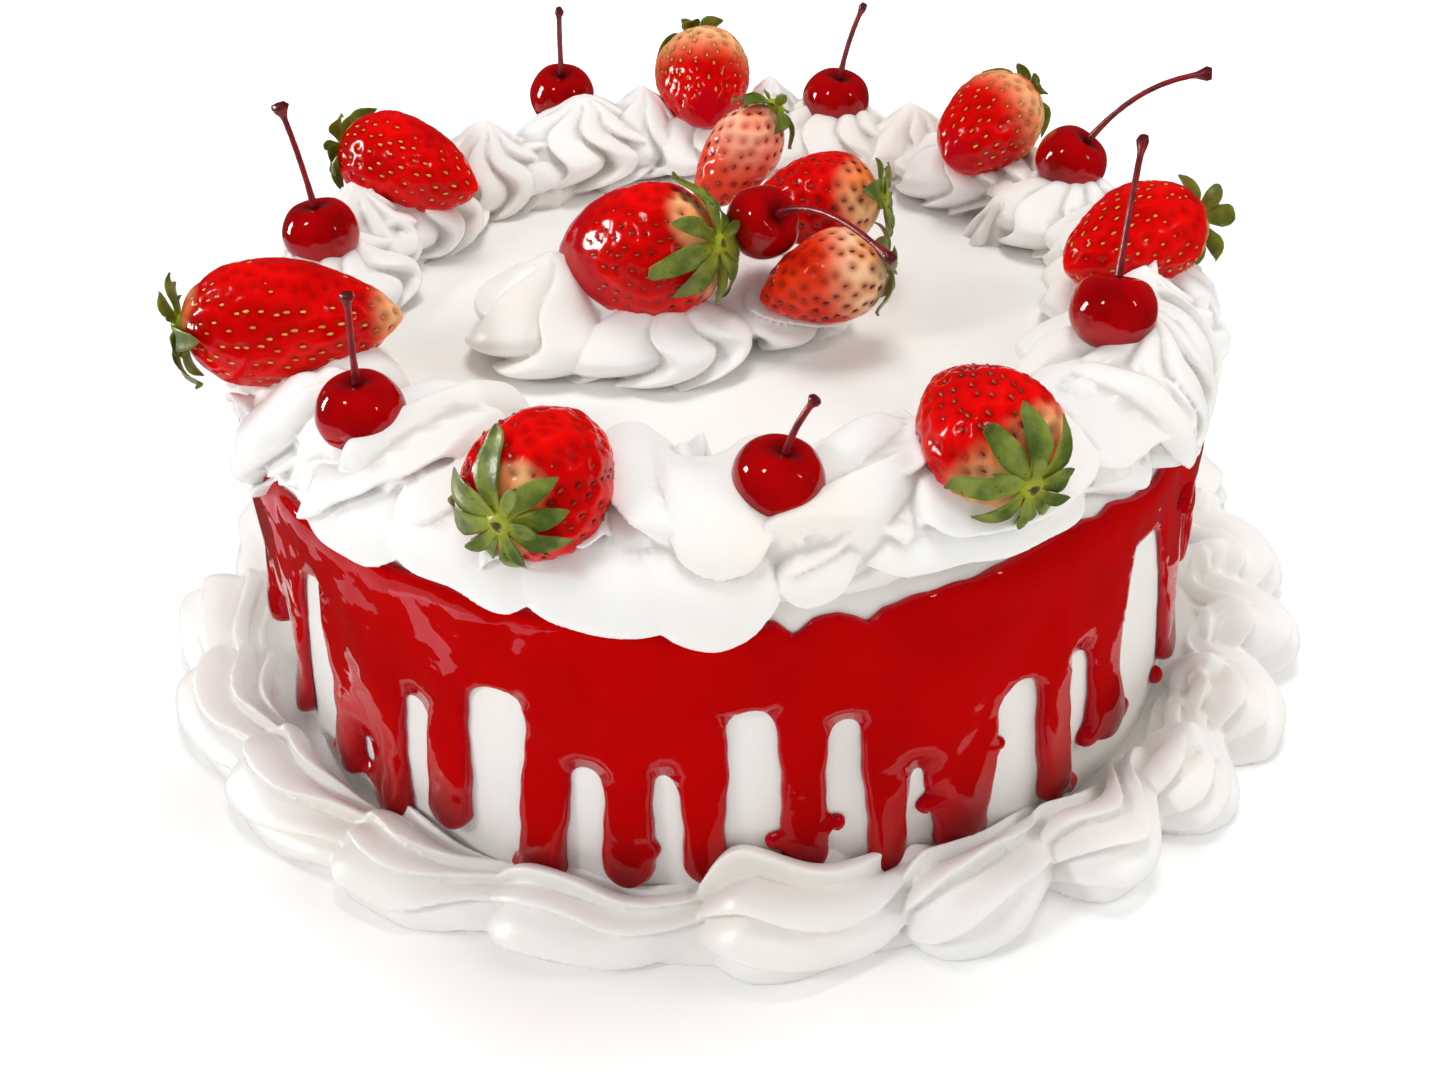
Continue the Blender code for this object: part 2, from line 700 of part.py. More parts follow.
def wall_cutter(collection):
    # The cake's wall with a pocket for each drip's end
    outline = []
    clear = CAKE_RADIUS + WALL_CLEARANCE
    deep = CAKE_RADIUS + POCKET_CLEARANCE + GLAZE_EDGE_THICKNESS + DRIP_END_BULGE
    edges = []
    for high, low, width, *_ in sorted(all_drips()):
        half = half_turn(width) * DRIP_FLARE + POCKET_MARGIN
        edges.append((min(high, low) - half, max(high, low) + half))
    edges = merged(edges)
    for index, (left, right) in enumerate(edges):
        following = edges[(index + 1) % len(edges)][0] + (360 if index == len(edges) - 1 else 0)
        outline.append((left - POCKET_CORNER, clear))
        outline.append((left, deep))
        outline.append(((left + right) / 2, deep))
        outline.append((right, deep))
        outline.append((right + POCKET_CORNER, clear))
        outline.append(((right + following) / 2, clear))
    rings = []
    for height in WALL_CUT:
        rings.append([ring_point(math.radians(angle), radius, height) for angle, radius in outline])
    return closed_shape("wall", rings, collection)


def merged(spans):
    # Joins spans that overlap or nearly touch
    joined = [spans[0]]
    for left, right in spans[1:]:
        if left < joined[-1][1] + 4 * POCKET_CORNER:
            joined[-1] = (joined[-1][0], max(right, joined[-1][1]))
        else:
            joined.append((left, right))
    return joined


def floor_cutter(collection):
    bm = bmesh.new()
    bmesh.ops.create_cube(bm, size=1)
    bmesh.ops.scale(bm, verts=bm.verts, vec=(FLOOR_SIDE, FLOOR_SIDE, FLOOR_DEPTH))
    bmesh.ops.translate(bm, verts=bm.verts, vec=(0, 0, -FLOOR_DEPTH / 2))
    return add_object("floor", mesh_from("floor", bm), collection)


def swollen_hull(source, distance, collection):
    # The convex hull of a piece, grown by a distance along its normals
    bm = bmesh.new()
    for vertex in source.data.vertices:
        bm.verts.new(source.matrix_world @ vertex.co)
    result = bmesh.ops.convex_hull(bm, input=bm.verts)
    unused = set(result["geom_interior"] + result["geom_unused"])
    spare = [item for item in unused if isinstance(item, bmesh.types.BMVert)]
    bmesh.ops.delete(bm, geom=spare, context="VERTS")
    bmesh.ops.recalc_face_normals(bm, faces=bm.faces)
    bm.normal_update()
    shifts = [vertex.normal * distance for vertex in bm.verts]
    for vertex, shift in zip(bm.verts, shifts):
        vertex.co += shift
    return add_object("socket", mesh_from("socket", bm), collection)


def core_ring(name, inner, outer, low, high, collection):
    # A plain ring that ties the piped shapes together
    edge = high - CORE_EDGE
    profile = [((inner + outer) / 2, high), (outer - CORE_EDGE, edge), (outer, low)]
    profile += [(inner, low), (inner + CORE_EDGE, edge), profile[0]]
    return turned(name, profile, CAKE_SIDES // 2, collection)


def build_top_border(collection, material, fruit):
    dollops = new_collection("top border dollops")
    draw = random.Random(DOLLOP_SEED)
    for index, (angle, ring, radius, height, ridges, twist) in enumerate(DOLLOPS):
        centre = ring_point(math.radians(angle), ring * MM, CAKE_HEIGHT)
        size = (radius * MM, height * MM)
        dollop(f"dollop {index}", centre, *size, ridges, twist, draw, dollops, hanging=True)
    for index, (corners, radius, twist) in enumerate(STROKES):
        stroke(f"stroke {index}", corners, radius * MM, twist, dollops)
    low = CAKE_HEIGHT - BORDER_CORE_SINK
    top = CAKE_HEIGHT + BORDER_CORE_HEIGHT
    border = core_ring("top_border", BORDER_CORE_INNER, BORDER_CORE_OUTER, low, top, collection)
    boolean(border, "UNION", dollops)
    empty_collection(dollops)
    cutters = new_collection("top border cutters")
    seat_cutter(cutters)
    for piece in fruit:
        swollen_hull(piece, SOCKET_CLEARANCE, cutters)
    cut_away(border, cutters)
    keep_largest(border)
    thin_out(border, BORDER_TRIANGLES)
    keep_largest(border)
    border.data.materials.clear()
    border.data.materials.append(material)
    return border


def build_centre_mound(collection, material, fruit):
    draw = random.Random(DOLLOP_SEED)
    others = new_collection("mound dollops")
    pieces = []
    for index, (x, y, radius, height, ridges, twist) in enumerate(MOUND):
        home = others if index else collection
        centre = (x * MM, y * MM, CAKE_HEIGHT)
        size = (radius * MM, height * MM)
        pieces.append(dollop("centre_mound", centre, *size, ridges, twist, draw, home))
    mound = pieces[0]
    boolean(mound, "UNION", others)
    empty_collection(others)
    cutters = new_collection("mound cutters")
    seat_cutter(cutters)
    for piece in fruit:
        swollen_hull(piece, SOCKET_CLEARANCE / 2, cutters)
    cut_away(mound, cutters)
    keep_largest(mound)
    mound.data.materials.clear()
    mound.data.materials.append(material)
    return mound


def build_base_border(collection, material):
    shells = new_collection("base border shells")
    draw = random.Random(SHELL_SEED)
    for index, row in enumerate(SHELLS):
        shell(f"shell {index}", *row, draw, shells)
    for index, (angle, ring, radius, height, ridges, twist) in enumerate(BASE_SWIRLS):
        centre = ring_point(math.radians(angle), ring * MM, 0)
        dollop(f"base swirl {index}", centre, radius * MM, height * MM, ridges, twist, draw, shells)
    sizes = (BASE_CORE_INNER, BASE_CORE_OUTER, -BASE_CORE_SINK, BASE_CORE_HEIGHT)
    border = core_ring("base_border", *sizes, collection)
    boolean(border, "UNION", shells)
    empty_collection(shells)
    thin_out(border, BASE_TRIANGLES)
    cutters = new_collection("base border cutters")
    wall_cutter(cutters)
    floor_cutter(cutters)
    cut_away(border, cutters)
    keep_largest(border)
    border.data.materials.clear()
    border.data.materials.append(material)
    return border


def berry_reach(along):
    # Half width of a strawberry as a share of its widest: round shoulders, then a cone with a blunt tip
    if along < BERRY_WIDEST:
        return math.sqrt(max(0, 1 - (1 - along / BERRY_WIDEST) ** 2))
    cone = ((along - BERRY_WIDEST) / (1 - BERRY_WIDEST)) ** CONE_FULLNESS
    return max(0, 1 - cone) ** TIP_BLUNTNESS


def berry_depth(radius, width, length):
    # Depth of the berry's shoulder below its stalk end at a distance from the axis
    low = 0
    high = BERRY_WIDEST
    for _ in range(20):
        middle = (low + high) / 2
        if berry_reach(middle) * width / 2 < radius:
            low = middle
        else:
            high = middle
    return low * length


def aim(direction):
    return Vector(direction).to_track_quat("Z", "Y").to_matrix().to_4x4()


def build_strawberry(name, centre, direction, length, width, collection, material):
    bm = bmesh.new()
    bmesh.ops.create_uvsphere(bm, u_segments=BERRY_SIDES, v_segments=BERRY_ROWS, radius=1)
    for vertex in bm.verts:
        along = 0.5 + 0.5 * vertex.co.z
        flat = math.hypot(vertex.co.x, vertex.co.y)
        if flat > 0.001:
            scale = berry_reach(along) * width * MM / 2 / flat
            vertex.co.x *= scale
            vertex.co.y *= scale
        vertex.co.z = (along - 0.5) * length * MM
    berry = add_object(name, mesh_from(name, bm), collection, material)
    berry.matrix_world = Matrix.Translation(Vector(centre) * MM) @ aim(direction)
    berry.data.shade_smooth()
    return berry


def build_calyx(name, berry, length, width, sepals, first, draw, collection, material):
    # A flat star of pointed sepals that follows the berry's shoulder and lifts at its tips
    bm = bmesh.new()
    start = -length * MM / 2
    widest = width * MM / 2

    def place(turn, radius, lift):
        depth = berry_depth(min(radius, widest * SEPAL_EDGE), width * MM, length * MM)
        return Vector((radius * math.cos(turn), radius * math.sin(turn), start + depth - lift))

    step = math.tau / sepals
    tops = [Vector((0, 0, start - SEPAL_ROOT_LIFT))]
    faces = []
    for index in range(sepals):
        turn = math.radians(first) + step * (index + draw.uniform(-SEPAL_SHIFT, SEPAL_SHIFT))
        reach = widest * draw.uniform(*SEPAL_REACH)
        lift = draw.uniform(*SEPAL_LIFT) * MM
        middle = reach * SEPAL_MIDDLE
        root = math.radians(first) + step * (index - 0.5)
        tops.append(place(root, SEPAL_ROOT_RADIUS, SEPAL_ROOT_LIFT))
        tops.append(place(turn - step * SEPAL_SPREAD, middle, SEPAL_SIDE_LIFTS[0]))
        tops.append(place(turn, reach, lift))
        tops.append(place(turn + step * SEPAL_SPREAD, middle, SEPAL_SIDE_LIFTS[1]))
    for index in range(sepals):
        base = 1 + index * 4
        after = 1 + (index + 1) % sepals * 4
        faces.append((0, base, after))
        faces.append((base, base + 1, base + 3))
        faces.append((base, base + 3, after))
        faces.append((base + 1, base + 2, base + 3))
    upper = [bm.verts.new(point - Vector((0, 0, SEPAL_THICKNESS))) for point in tops]
    lower = [bm.verts.new(point) for point in tops]
    for face in faces:
        bm.faces.new([upper[corner] for corner in face])
        bm.faces.new([lower[corner] for corner in reversed(face)])
    rim = []
    for index in range(sepals):
        base = 1 + index * 4
        rim.extend((base, base + 1, base + 2, base + 3))
    for start_corner, end_corner in zip(rim, rim[1:] + rim[:1]):
        bm.faces.new((upper[end_corner], upper[start_corner], lower[start_corner]))
        bm.faces.new((upper[end_corner], lower[start_corner], lower[end_corner]))
    calyx = add_object(name, mesh_from(name, bm), collection, material)
    calyx.parent = berry
    return calyx


def build_cherry(name, centre, stem_end, diameter, collection, material):
    # A ball that is a little flat, with a dimple where the stem stands
    bm = bmesh.new()
    radius = diameter / 2 * MM
    bmesh.ops.create_uvsphere(bm, u_segments=CHERRY_SIDES, v_segments=CHERRY_ROWS, radius=radius)
    for vertex in bm.verts:
        vertex.co.z *= CHERRY_FLATNESS
        if vertex.co.z > diameter * DIMPLE_FROM * MM:
            vertex.co.z = diameter * DIMPLE_HEIGHT * MM
    cherry = add_object(name, mesh_from(name, bm), collection, material)
    lean = (Vector(stem_end) - Vector(centre)).normalized() + Vector((0, 0, CHERRY_UPRIGHT))
    cherry.matrix_world = Matrix.Translation(Vector(centre) * MM) @ aim(lean)
    cherry.data.shade_smooth()
    return cherry


def build_stem(name, cherry, stem_end, diameter, collection, material):
    # A thin curved tube from the dimple to a small knob
    bpy.context.view_layer.update()
    axis = cherry.matrix_world.to_3x3() @ Vector((0, 0, 1))
    start = cherry.matrix_world.translation + axis * (diameter * DIMPLE_HEIGHT * MM + STEM_CLEARANCE)
    end = Vector(stem_end) * MM
    bend = start + axis * (end - start).length * STEM_BEND
    curve = bpy.data.curves.new(name, "CURVE")
    curve.dimensions = "3D"
    curve.bevel_depth = STEM_RADIUS
    curve.bevel_resolution = 0
    curve.use_fill_caps = True
    spline = curve.splines.new("POLY")
    spline.points.add(STEM_STEPS)
    for index, point in enumerate(spline.points):
        share = index / STEM_STEPS
        place = start * (1 - share) ** 2 + bend * 2 * share * (1 - share) + end * share ** 2
        point.co = (*place, 1)
        point.radius = 1
    spline.points[-1].radius = STEM_KNOB_RADIUS / STEM_RADIUS
    curve.materials.append(material)
    return add_object(name, curve, collection)


def build():
    clear_scene()
    cake = new_collection("strawberry cake")
    materials = {name: make_material(name) for name in COLOURS}
    build_cake_body(cake, materials["frosting"])
    build_glaze(cake, materials["glaze"])
    draw = random.Random(DOLLOP_SEED)
    fruit = []
    skin = materials["berry"]
    leaf = materials["leaf"]
    for number, (centre, direction, length, width, sepals, first) in enumerate(STRAWBERRIES, 1):
        berry = build_strawberry(f"strawberry_{number}", centre, direction, length, width, cake, skin)
        calyx = build_calyx(f"calyx_{number}", berry, length, width, sepals, first, draw, cake, leaf)
        fruit.extend((berry, calyx))
    for number, (centre, stem_end, diameter) in enumerate(CHERRIES, 1):
        cherry = build_cherry(f"cherry_{number}", centre, stem_end, diameter, cake, materials["cherry"])
        build_stem(f"cherry_stem_{number}", cherry, stem_end, diameter, cake, materials["stem"])
        fruit.append(cherry)
    bpy.context.view_layer.update()
    build_top_border(cake, materials["cream"], fruit)
    build_centre_mound(cake, materials["cream"], fruit)
    build_base_border(cake, materials["cream"])


build()
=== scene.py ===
import math
import random

import bpy
import numpy as np
from mathutils import Matrix, Vector, geometry, noise


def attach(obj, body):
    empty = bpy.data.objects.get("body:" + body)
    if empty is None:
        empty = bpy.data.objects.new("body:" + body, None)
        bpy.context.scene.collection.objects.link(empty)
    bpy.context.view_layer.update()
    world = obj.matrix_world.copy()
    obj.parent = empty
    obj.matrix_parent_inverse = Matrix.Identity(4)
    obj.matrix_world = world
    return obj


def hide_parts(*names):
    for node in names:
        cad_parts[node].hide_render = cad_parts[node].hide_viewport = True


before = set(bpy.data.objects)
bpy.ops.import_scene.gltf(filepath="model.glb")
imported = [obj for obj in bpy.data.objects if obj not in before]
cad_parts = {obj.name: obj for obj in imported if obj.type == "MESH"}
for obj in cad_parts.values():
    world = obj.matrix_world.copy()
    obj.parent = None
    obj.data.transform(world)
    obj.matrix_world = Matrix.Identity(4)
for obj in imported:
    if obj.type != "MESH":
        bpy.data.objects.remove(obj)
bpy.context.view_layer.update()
mm = 0.001  # every table below is in millimetres and degrees

cake = {"radius": 125, "height": 92, "shoulder": 8, "sides": 288, "gap": 0.3, "unevenness": 0.45}


# meshes

def makeMesh(name, points, faces, smooth=True):
    mesh = bpy.data.meshes.new(name)
    mesh.from_pydata((np.asarray(points, dtype=float) * mm).tolist(), [], faces)
    mesh.validate()
    if smooth:
        mesh.shade_smooth()
    return mesh


def addPiece(name, mesh, node, slot, *materials):
    piece = bpy.data.objects.new(name, mesh)
    bpy.context.scene.collection.objects.link(piece)
    for material in materials:
        mesh.materials.append(material)
    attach(piece, "root")
    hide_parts(node)
    return piece


def ringFaces(rings, count, first=0, capStart=False, capEnd=False):
    # quads between rings of one point count, with a fan of the last ring where it is closed
    faces = []
    for ring in range(rings - 1):
        low = first + ring * count
        for index in range(count):
            after = (index + 1) % count
            faces.append((low + index, low + after, low + count + after, low + count + index))
    if capStart:
        faces.append(tuple(first + index for index in reversed(range(count))))
    if capEnd:
        faces.append(tuple(first + (rings - 1) * count + index for index in range(count)))
    return faces


def joinShapes(shapes):
    # shapes are (points, faces); returns one pair
    points, faces, first = [], [], 0
    for some, theirs in shapes:
        points.append(np.asarray(some, dtype=float))
        faces.extend(tuple(first + corner for corner in face) for face in theirs)
        first += len(some)
    return np.concatenate(points), faces


def paint(mesh, name, values):
    # keeps a 0 to 1 mask with each point, for the materials
    layer = mesh.attributes.new(name, "FLOAT", "POINT")
    layer.data.foreach_set("value", np.asarray(values, dtype=np.float32))


def smoothStep(low, high, value):
    share = np.clip((np.asarray(value, dtype=float) - low) / (high - low), 0, 1)
    return share * share * (3 - 2 * share)


def waver(points, size, amount, seed):
    # slow random drift of points, as soft food has
    shift = Vector((seed * 13.7, seed * 7.1, seed * 3.3))
    moves = [noise.noise_vector(Vector(point) / size + shift) for point in points.tolist()]
    return points + np.array([tuple(move) for move in moves]) * amount


def applied(piece):
    # the piece's mesh with its modifiers applied
    bpy.context.view_layer.update()
    result = bpy.data.meshes.new_from_object(piece.evaluated_get(bpy.context.evaluated_depsgraph_get()))
    piece.modifiers.clear()
    return result


def fused(name, points, faces, voxel, triangles, smoothing=3):
    # one skin round overlapping closed shapes, finely meshed, with its steps smoothed out
    mesh = makeMesh(name, points, faces)
    piece = bpy.data.objects.new(name, mesh)
    bpy.context.scene.collection.objects.link(piece)
    skin = piece.modifiers.new("skin", "REMESH")
    skin.mode = "VOXEL"
    skin.voxel_size = voxel * mm
    soft = piece.modifiers.new("soft", "SMOOTH")
    soft.factor = 0.5
    soft.iterations = smoothing
    mesh = applied(piece)
    count = len(mesh.polygons) * 2
    piece.data = mesh
    if count > triangles:
        thin = piece.modifiers.new("thin", "DECIMATE")
        thin.ratio = triangles / count
        mesh = applied(piece)
    bpy.data.objects.remove(piece)
    mesh.name = name
    mesh.shade_smooth()
    print(f"{name}: {count} triangles fused, {len(mesh.polygons)} faces kept")
    return mesh


def hollowness(mesh, rounds, depth):
    # 0 on crests and flanks, towards 1 in creases: how far a smoothed copy lies outside the surface
    count = len(mesh.vertices)
    places = np.empty(count * 3)
    mesh.vertices.foreach_get("co", places)
    places = places.reshape(-1, 3)
    normals = np.empty(count * 3, dtype=np.float32)
    mesh.vertex_normals.foreach_get("vector", normals)
    ends = np.empty(len(mesh.edges) * 2, dtype=np.int32)
    mesh.edges.foreach_get("vertices", ends)
    a, b = ends.reshape(-1, 2).T
    links = np.maximum(np.bincount(ends, minlength=count), 1)
    soft = places.copy()
    for _ in range(rounds):
        sums = [np.bincount(a, soft[b, axis], count) + np.bincount(b, soft[a, axis], count) for axis in range(3)]
        soft = np.stack(sums, axis=-1) / links[:, None]
    outside = ((soft - places) * normals.reshape(-1, 3)).sum(axis=1)
    return smoothStep(0.05, 1, outside / (depth * mm))


def creases(mesh):
    # the broad hollows between folds and the fine lines under their lips, as a mask for painted shade in them
    return np.maximum(hollowness(mesh, 30, 1.1) * 0.6, hollowness(mesh, 7, 0.36) * 1.0)


# node groups

def newGroup(name, inputs, outputs):
    group = bpy.data.node_groups.new(name, "ShaderNodeTree")
    for label, kind, value in inputs:
        socket = group.interface.new_socket(name=label, in_out="INPUT", socket_type=kind)
        if value is not None:
            socket.default_value = value
    for label, kind in outputs:
        group.interface.new_socket(name=label, in_out="OUTPUT", socket_type=kind)
    nodes = group.nodes
    return group, nodes, nodes.new("NodeGroupInput"), nodes.new("NodeGroupOutput")


def mottleGroup():
    # two colours in soft cloudy patches
    group, nodes, given, out = newGroup(
        "cloudyPatches",
        (("Colour A", "NodeSocketColor", None), ("Colour B", "NodeSocketColor", None),
         ("Size", "NodeSocketFloat", 30.0), ("Low", "NodeSocketFloat", 0.4), ("High", "NodeSocketFloat", 0.7)),
        (("Colour", "NodeSocketColor"), ("Mask", "NodeSocketFloat")),
    )
    link = group.links.new
    place = nodes.new("ShaderNodeTexCoord")
    cloud = nodes.new("ShaderNodeTexNoise")
    cloud.inputs["Detail"].default_value = 3
    spread = nodes.new("ShaderNodeMapRange")
    spread.interpolation_type = "SMOOTHSTEP"
    mix = nodes.new("ShaderNodeMix")
    mix.data_type = "RGBA"
    link(place.outputs["Object"], cloud.inputs["Vector"])
    link(given.outputs["Size"], cloud.inputs["Scale"])
    link(cloud.outputs["Fac"], spread.inputs["Value"])
    link(given.outputs["Low"], spread.inputs["From Min"])
    link(given.outputs["High"], spread.inputs["From Max"])
    link(spread.outputs["Result"], mix.inputs[0])
    link(given.outputs["Colour A"], mix.inputs[6])
    link(given.outputs["Colour B"], mix.inputs[7])
    link(mix.outputs[2], out.inputs["Colour"])
    link(spread.outputs["Result"], out.inputs["Mask"])
    return group


def reliefGroup():
    # fine surface height from two sizes of grain
    group, nodes, given, out = newGroup(
        "fineRelief",
        (("Size", "NodeSocketFloat", 400.0), ("Coarse", "NodeSocketFloat", 60.0), ("Share", "NodeSocketFloat", 0.5)),
        (("Height", "NodeSocketFloat"),),
    )
    link = group.links.new
    place = nodes.new("ShaderNodeTexCoord")
    fine = nodes.new("ShaderNodeTexNoise")
    coarse = nodes.new("ShaderNodeTexNoise")
    mix = nodes.new("ShaderNodeMix")
    for grain, label in ((fine, "Size"), (coarse, "Coarse")):
        link(place.outputs["Object"], grain.inputs["Vector"])
        link(given.outputs[label], grain.inputs["Scale"])
    link(given.outputs["Share"], mix.inputs[0])
    link(fine.outputs["Fac"], mix.inputs[2])
    link(coarse.outputs["Fac"], mix.inputs[3])
    link(mix.outputs[0], out.inputs["Height"])
    return group


patches = mottleGroup()
relief = reliefGroup()


def newMaterial(name, settings):
    # a Principled material with what is the same all over set on its own sockets
    material = bpy.data.materials.new(name)
    material.use_nodes = True
    shader = material.node_tree.nodes["Principled BSDF"]
    for label, value in settings.items():
        shader.inputs[label].default_value = value
    return material, material.node_tree.nodes, material.node_tree.links.new, shader


def placeGroup(nodes, group, **values):
    node = nodes.new("ShaderNodeGroup")
    node.node_tree = group
    for label, value in values.items():
        node.inputs[label.replace("_", " ")].default_value = value
    return node


def addBump(nodes, link, shader, height, strength, distance):
    bump = nodes.new("ShaderNodeBump")
    bump.inputs["Strength"].default_value = strength
    bump.inputs["Distance"].default_value = distance * mm
    link(height, bump.inputs["Height"])
    link(bump.outputs["Normal"], shader.inputs["Normal"])
    return bump


def mixColour(nodes, link, mask, first, second):
    # first and second are colours or sockets
    mix = nodes.new("ShaderNodeMix")
    mix.data_type = "RGBA"
    link(mask, mix.inputs[0])
    for slot, value in ((6, first), (7, second)):
        if isinstance(value, tuple):
            mix.inputs[slot].default_value = (*value, 1)
        else:
            link(value, mix.inputs[slot])
    return mix.outputs[2]


def readMask(nodes, name):
    mask = nodes.new("ShaderNodeAttribute")
    mask.attribute_name = name
    return mask.outputs["Fac"]


# materials

def creamMaterial(name, look):
    material, nodes, link, shader = newMaterial(name, {
        "Roughness": look["roughness"], "Subsurface Weight": look["scatter"], "Subsurface Radius": (1.0, 0.75, 0.6),
        "Subsurface Scale": look["depth"] * mm, "Specular IOR Level": look["shine"],
    })
    warm = placeGroup(nodes, patches, Colour_A=(*look["white"], 1), Colour_B=(*look["warm"], 1), Size=look["patch"],
                      Low=0.42, High=0.72)
    blush = placeGroup(nodes, patches, Size=look["blushSize"], Low=0.55, High=0.8)
    blush.inputs["Colour B"].default_value = (*look["blush"], 1)
    link(warm.outputs["Colour"], blush.inputs["Colour A"])
    # painted shade: the colour darkens towards the crease colour in the creases and under the lips
    colour = mixColour(nodes, link, readMask(nodes, "paintedShade"), blush.outputs["Colour"], look["creaseShade"])
    link(colour, shader.inputs["Base Color"])
    grain = placeGroup(nodes, relief, Size=look["grain"], Coarse=look["swell"], Share=0.6)
    addBump(nodes, link, shader, grain.outputs["Height"], look["bump"], 1.0)
    return material


def glazeMaterial():
    look = {"bright": (0.50, 0.0, 0.0), "deep": (0.15, 0.0, 0.001), "rim": (0.42, 0.002, 0.010)}
    material, nodes, link, shader = newMaterial("redGlaze", {
        "Roughness": 0.05, "Specular IOR Level": 0.26, "Coat Weight": 0.0,
        "Subsurface Weight": 0.12, "Subsurface Radius": (1.0, 0.1, 0.08), "Subsurface Scale": 0.0015,
    })
    thick = readMask(nodes, "thick")
    cloud = placeGroup(nodes, patches, Colour_A=(*look["bright"], 1), Colour_B=(0.40, 0.0, 0.0, 1), Size=22.0,
                       Low=0.35, High=0.75)
    colour = mixColour(nodes, link, thick, cloud.outputs["Colour"], look["deep"])
    colour = mixColour(nodes, link, readMask(nodes, "rim"), colour, look["rim"])
    link(colour, shader.inputs["Base Color"])
    wave = placeGroup(nodes, relief, Size=120.0, Coarse=42.0, Share=0.72)
    addBump(nodes, link, shader, wave.outputs["Height"], 0.8, 1.6)
    return material


def berryMaterial(name, look):
    material, nodes, link, shader = newMaterial(name, {
        "Roughness": 0.14, "Specular IOR Level": 0.14, "Coat Weight": 0.08, "Coat Roughness": 0.04,
        "Subsurface Weight": 0.15, "Subsurface Radius": (1.0, 0.25, 0.12), "Subsurface Scale": 0.002,
    })
    skin = placeGroup(nodes, patches, Colour_A=(*look["red"], 1), Colour_B=(*look["deep"], 1), Size=55.0, Low=0.35,
                      High=0.7)
    pale = placeGroup(nodes, patches, Colour_A=(*look["pale"], 1), Colour_B=(*look["blush"], 1), Size=90.0, Low=0.4,
                      High=0.75)
    colour = mixColour(nodes, link, readMask(nodes, "pale"), skin.outputs["Colour"], pale.outputs["Colour"])
    # painted shade: the skin darkens towards the pit colour in the pits round the seeds
    colour = mixColour(nodes, link, readMask(nodes, "pit"), colour, look["pit"])
    colour = mixColour(nodes, link, readMask(nodes, "coat"), colour, look["coat"])
    link(colour, shader.inputs["Base Color"])
    grain = placeGroup(nodes, relief, Size=1500.0, Coarse=300.0, Share=0.6)
    addBump(nodes, link, shader, grain.outputs["Height"], 0.12, 0.5)
    return material


def seedMaterial(name, light, dark):
    material, nodes, link, shader = newMaterial(name, {"Roughness": 0.35, "Specular IOR Level": 0.5})
    speck = placeGroup(nodes, patches, Colour_A=(*light, 1), Colour_B=(*dark, 1), Size=160.0, Low=0.45, High=0.6)
    link(speck.outputs["Colour"], shader.inputs["Base Color"])
    return material


def leafMaterial(name, look):
    material, nodes, link, shader = newMaterial(name, {
        "Roughness": 0.42, "Specular IOR Level": 0.4, "Subsurface Weight": 0.1, "Subsurface Scale": 0.001,
        "Subsurface Radius": (0.5, 1.0, 0.2),
    })
    blade = placeGroup(nodes, patches, Colour_A=(*look["fresh"], 1), Colour_B=(*look["dark"], 1), Size=150.0, Low=0.35,
                       High=0.65)
    colour = mixColour(nodes, link, readMask(nodes, "heart"), blade.outputs["Colour"], look["heart"])
    colour = mixColour(nodes, link, readMask(nodes, "tip"), colour, look["tip"])
    speck = placeGroup(nodes, patches, Size=900.0, Low=0.66, High=0.72)
    speck.inputs["Colour B"].default_value = (*look["speck"], 1)
    link(colour, speck.inputs["Colour A"])
    link(speck.outputs["Colour"], shader.inputs["Base Color"])
    vein = placeGroup(nodes, relief, Size=1300.0, Coarse=320.0, Share=0.5)
    addBump(nodes, link, shader, vein.outputs["Height"], 0.4, 0.4)
    return material


def cherryMaterial():
    material, nodes, link, shader = newMaterial("cherrySkin", {
        "Roughness": 0.06, "Specular IOR Level": 0.3, "Coat Weight": 0.1, "Coat Roughness": 0.02,
        "Subsurface Weight": 0.15, "Subsurface Radius": (1.0, 0.06, 0.06), "Subsurface Scale": 0.002,
    })
    skin = placeGroup(nodes, patches, Colour_A=(0.42, 0.0, 0.001, 1), Colour_B=(0.22, 0.0, 0.001, 1), Size=70.0,
                      Low=0.3, High=0.75)
    # painted shade: the skin goes nearly black in the dimple round the stem
    colour = mixColour(nodes, link, readMask(nodes, "paintedShade"), skin.outputs["Colour"], (0.06, 0.0, 0.001))
    link(colour, shader.inputs["Base Color"])
    wave = placeGroup(nodes, relief, Size=260.0, Coarse=110.0, Share=0.6)
    addBump(nodes, link, shader, wave.outputs["Height"], 0.25, 0.5)
    return material


def stemMaterial():
    material, nodes, link, shader = newMaterial("cherryStem", {"Roughness": 0.3, "Specular IOR Level": 0.5})
    bark = placeGroup(nodes, patches, Colour_A=(0.26, 0.004, 0.012, 1), Colour_B=(0.12, 0.006, 0.01, 1), Size=260.0,
                      Low=0.4, High=0.65)
    colour = mixColour(nodes, link, readMask(nodes, "knob"), bark.outputs["Colour"], (0.10, 0.004, 0.006))
    link(colour, shader.inputs["Base Color"])
    grain = placeGroup(nodes, relief, Size=1800.0, Coarse=500.0, Share=0.4)
    addBump(nodes, link, shader, grain.outputs["Height"], 0.5, 0.4)
    return material
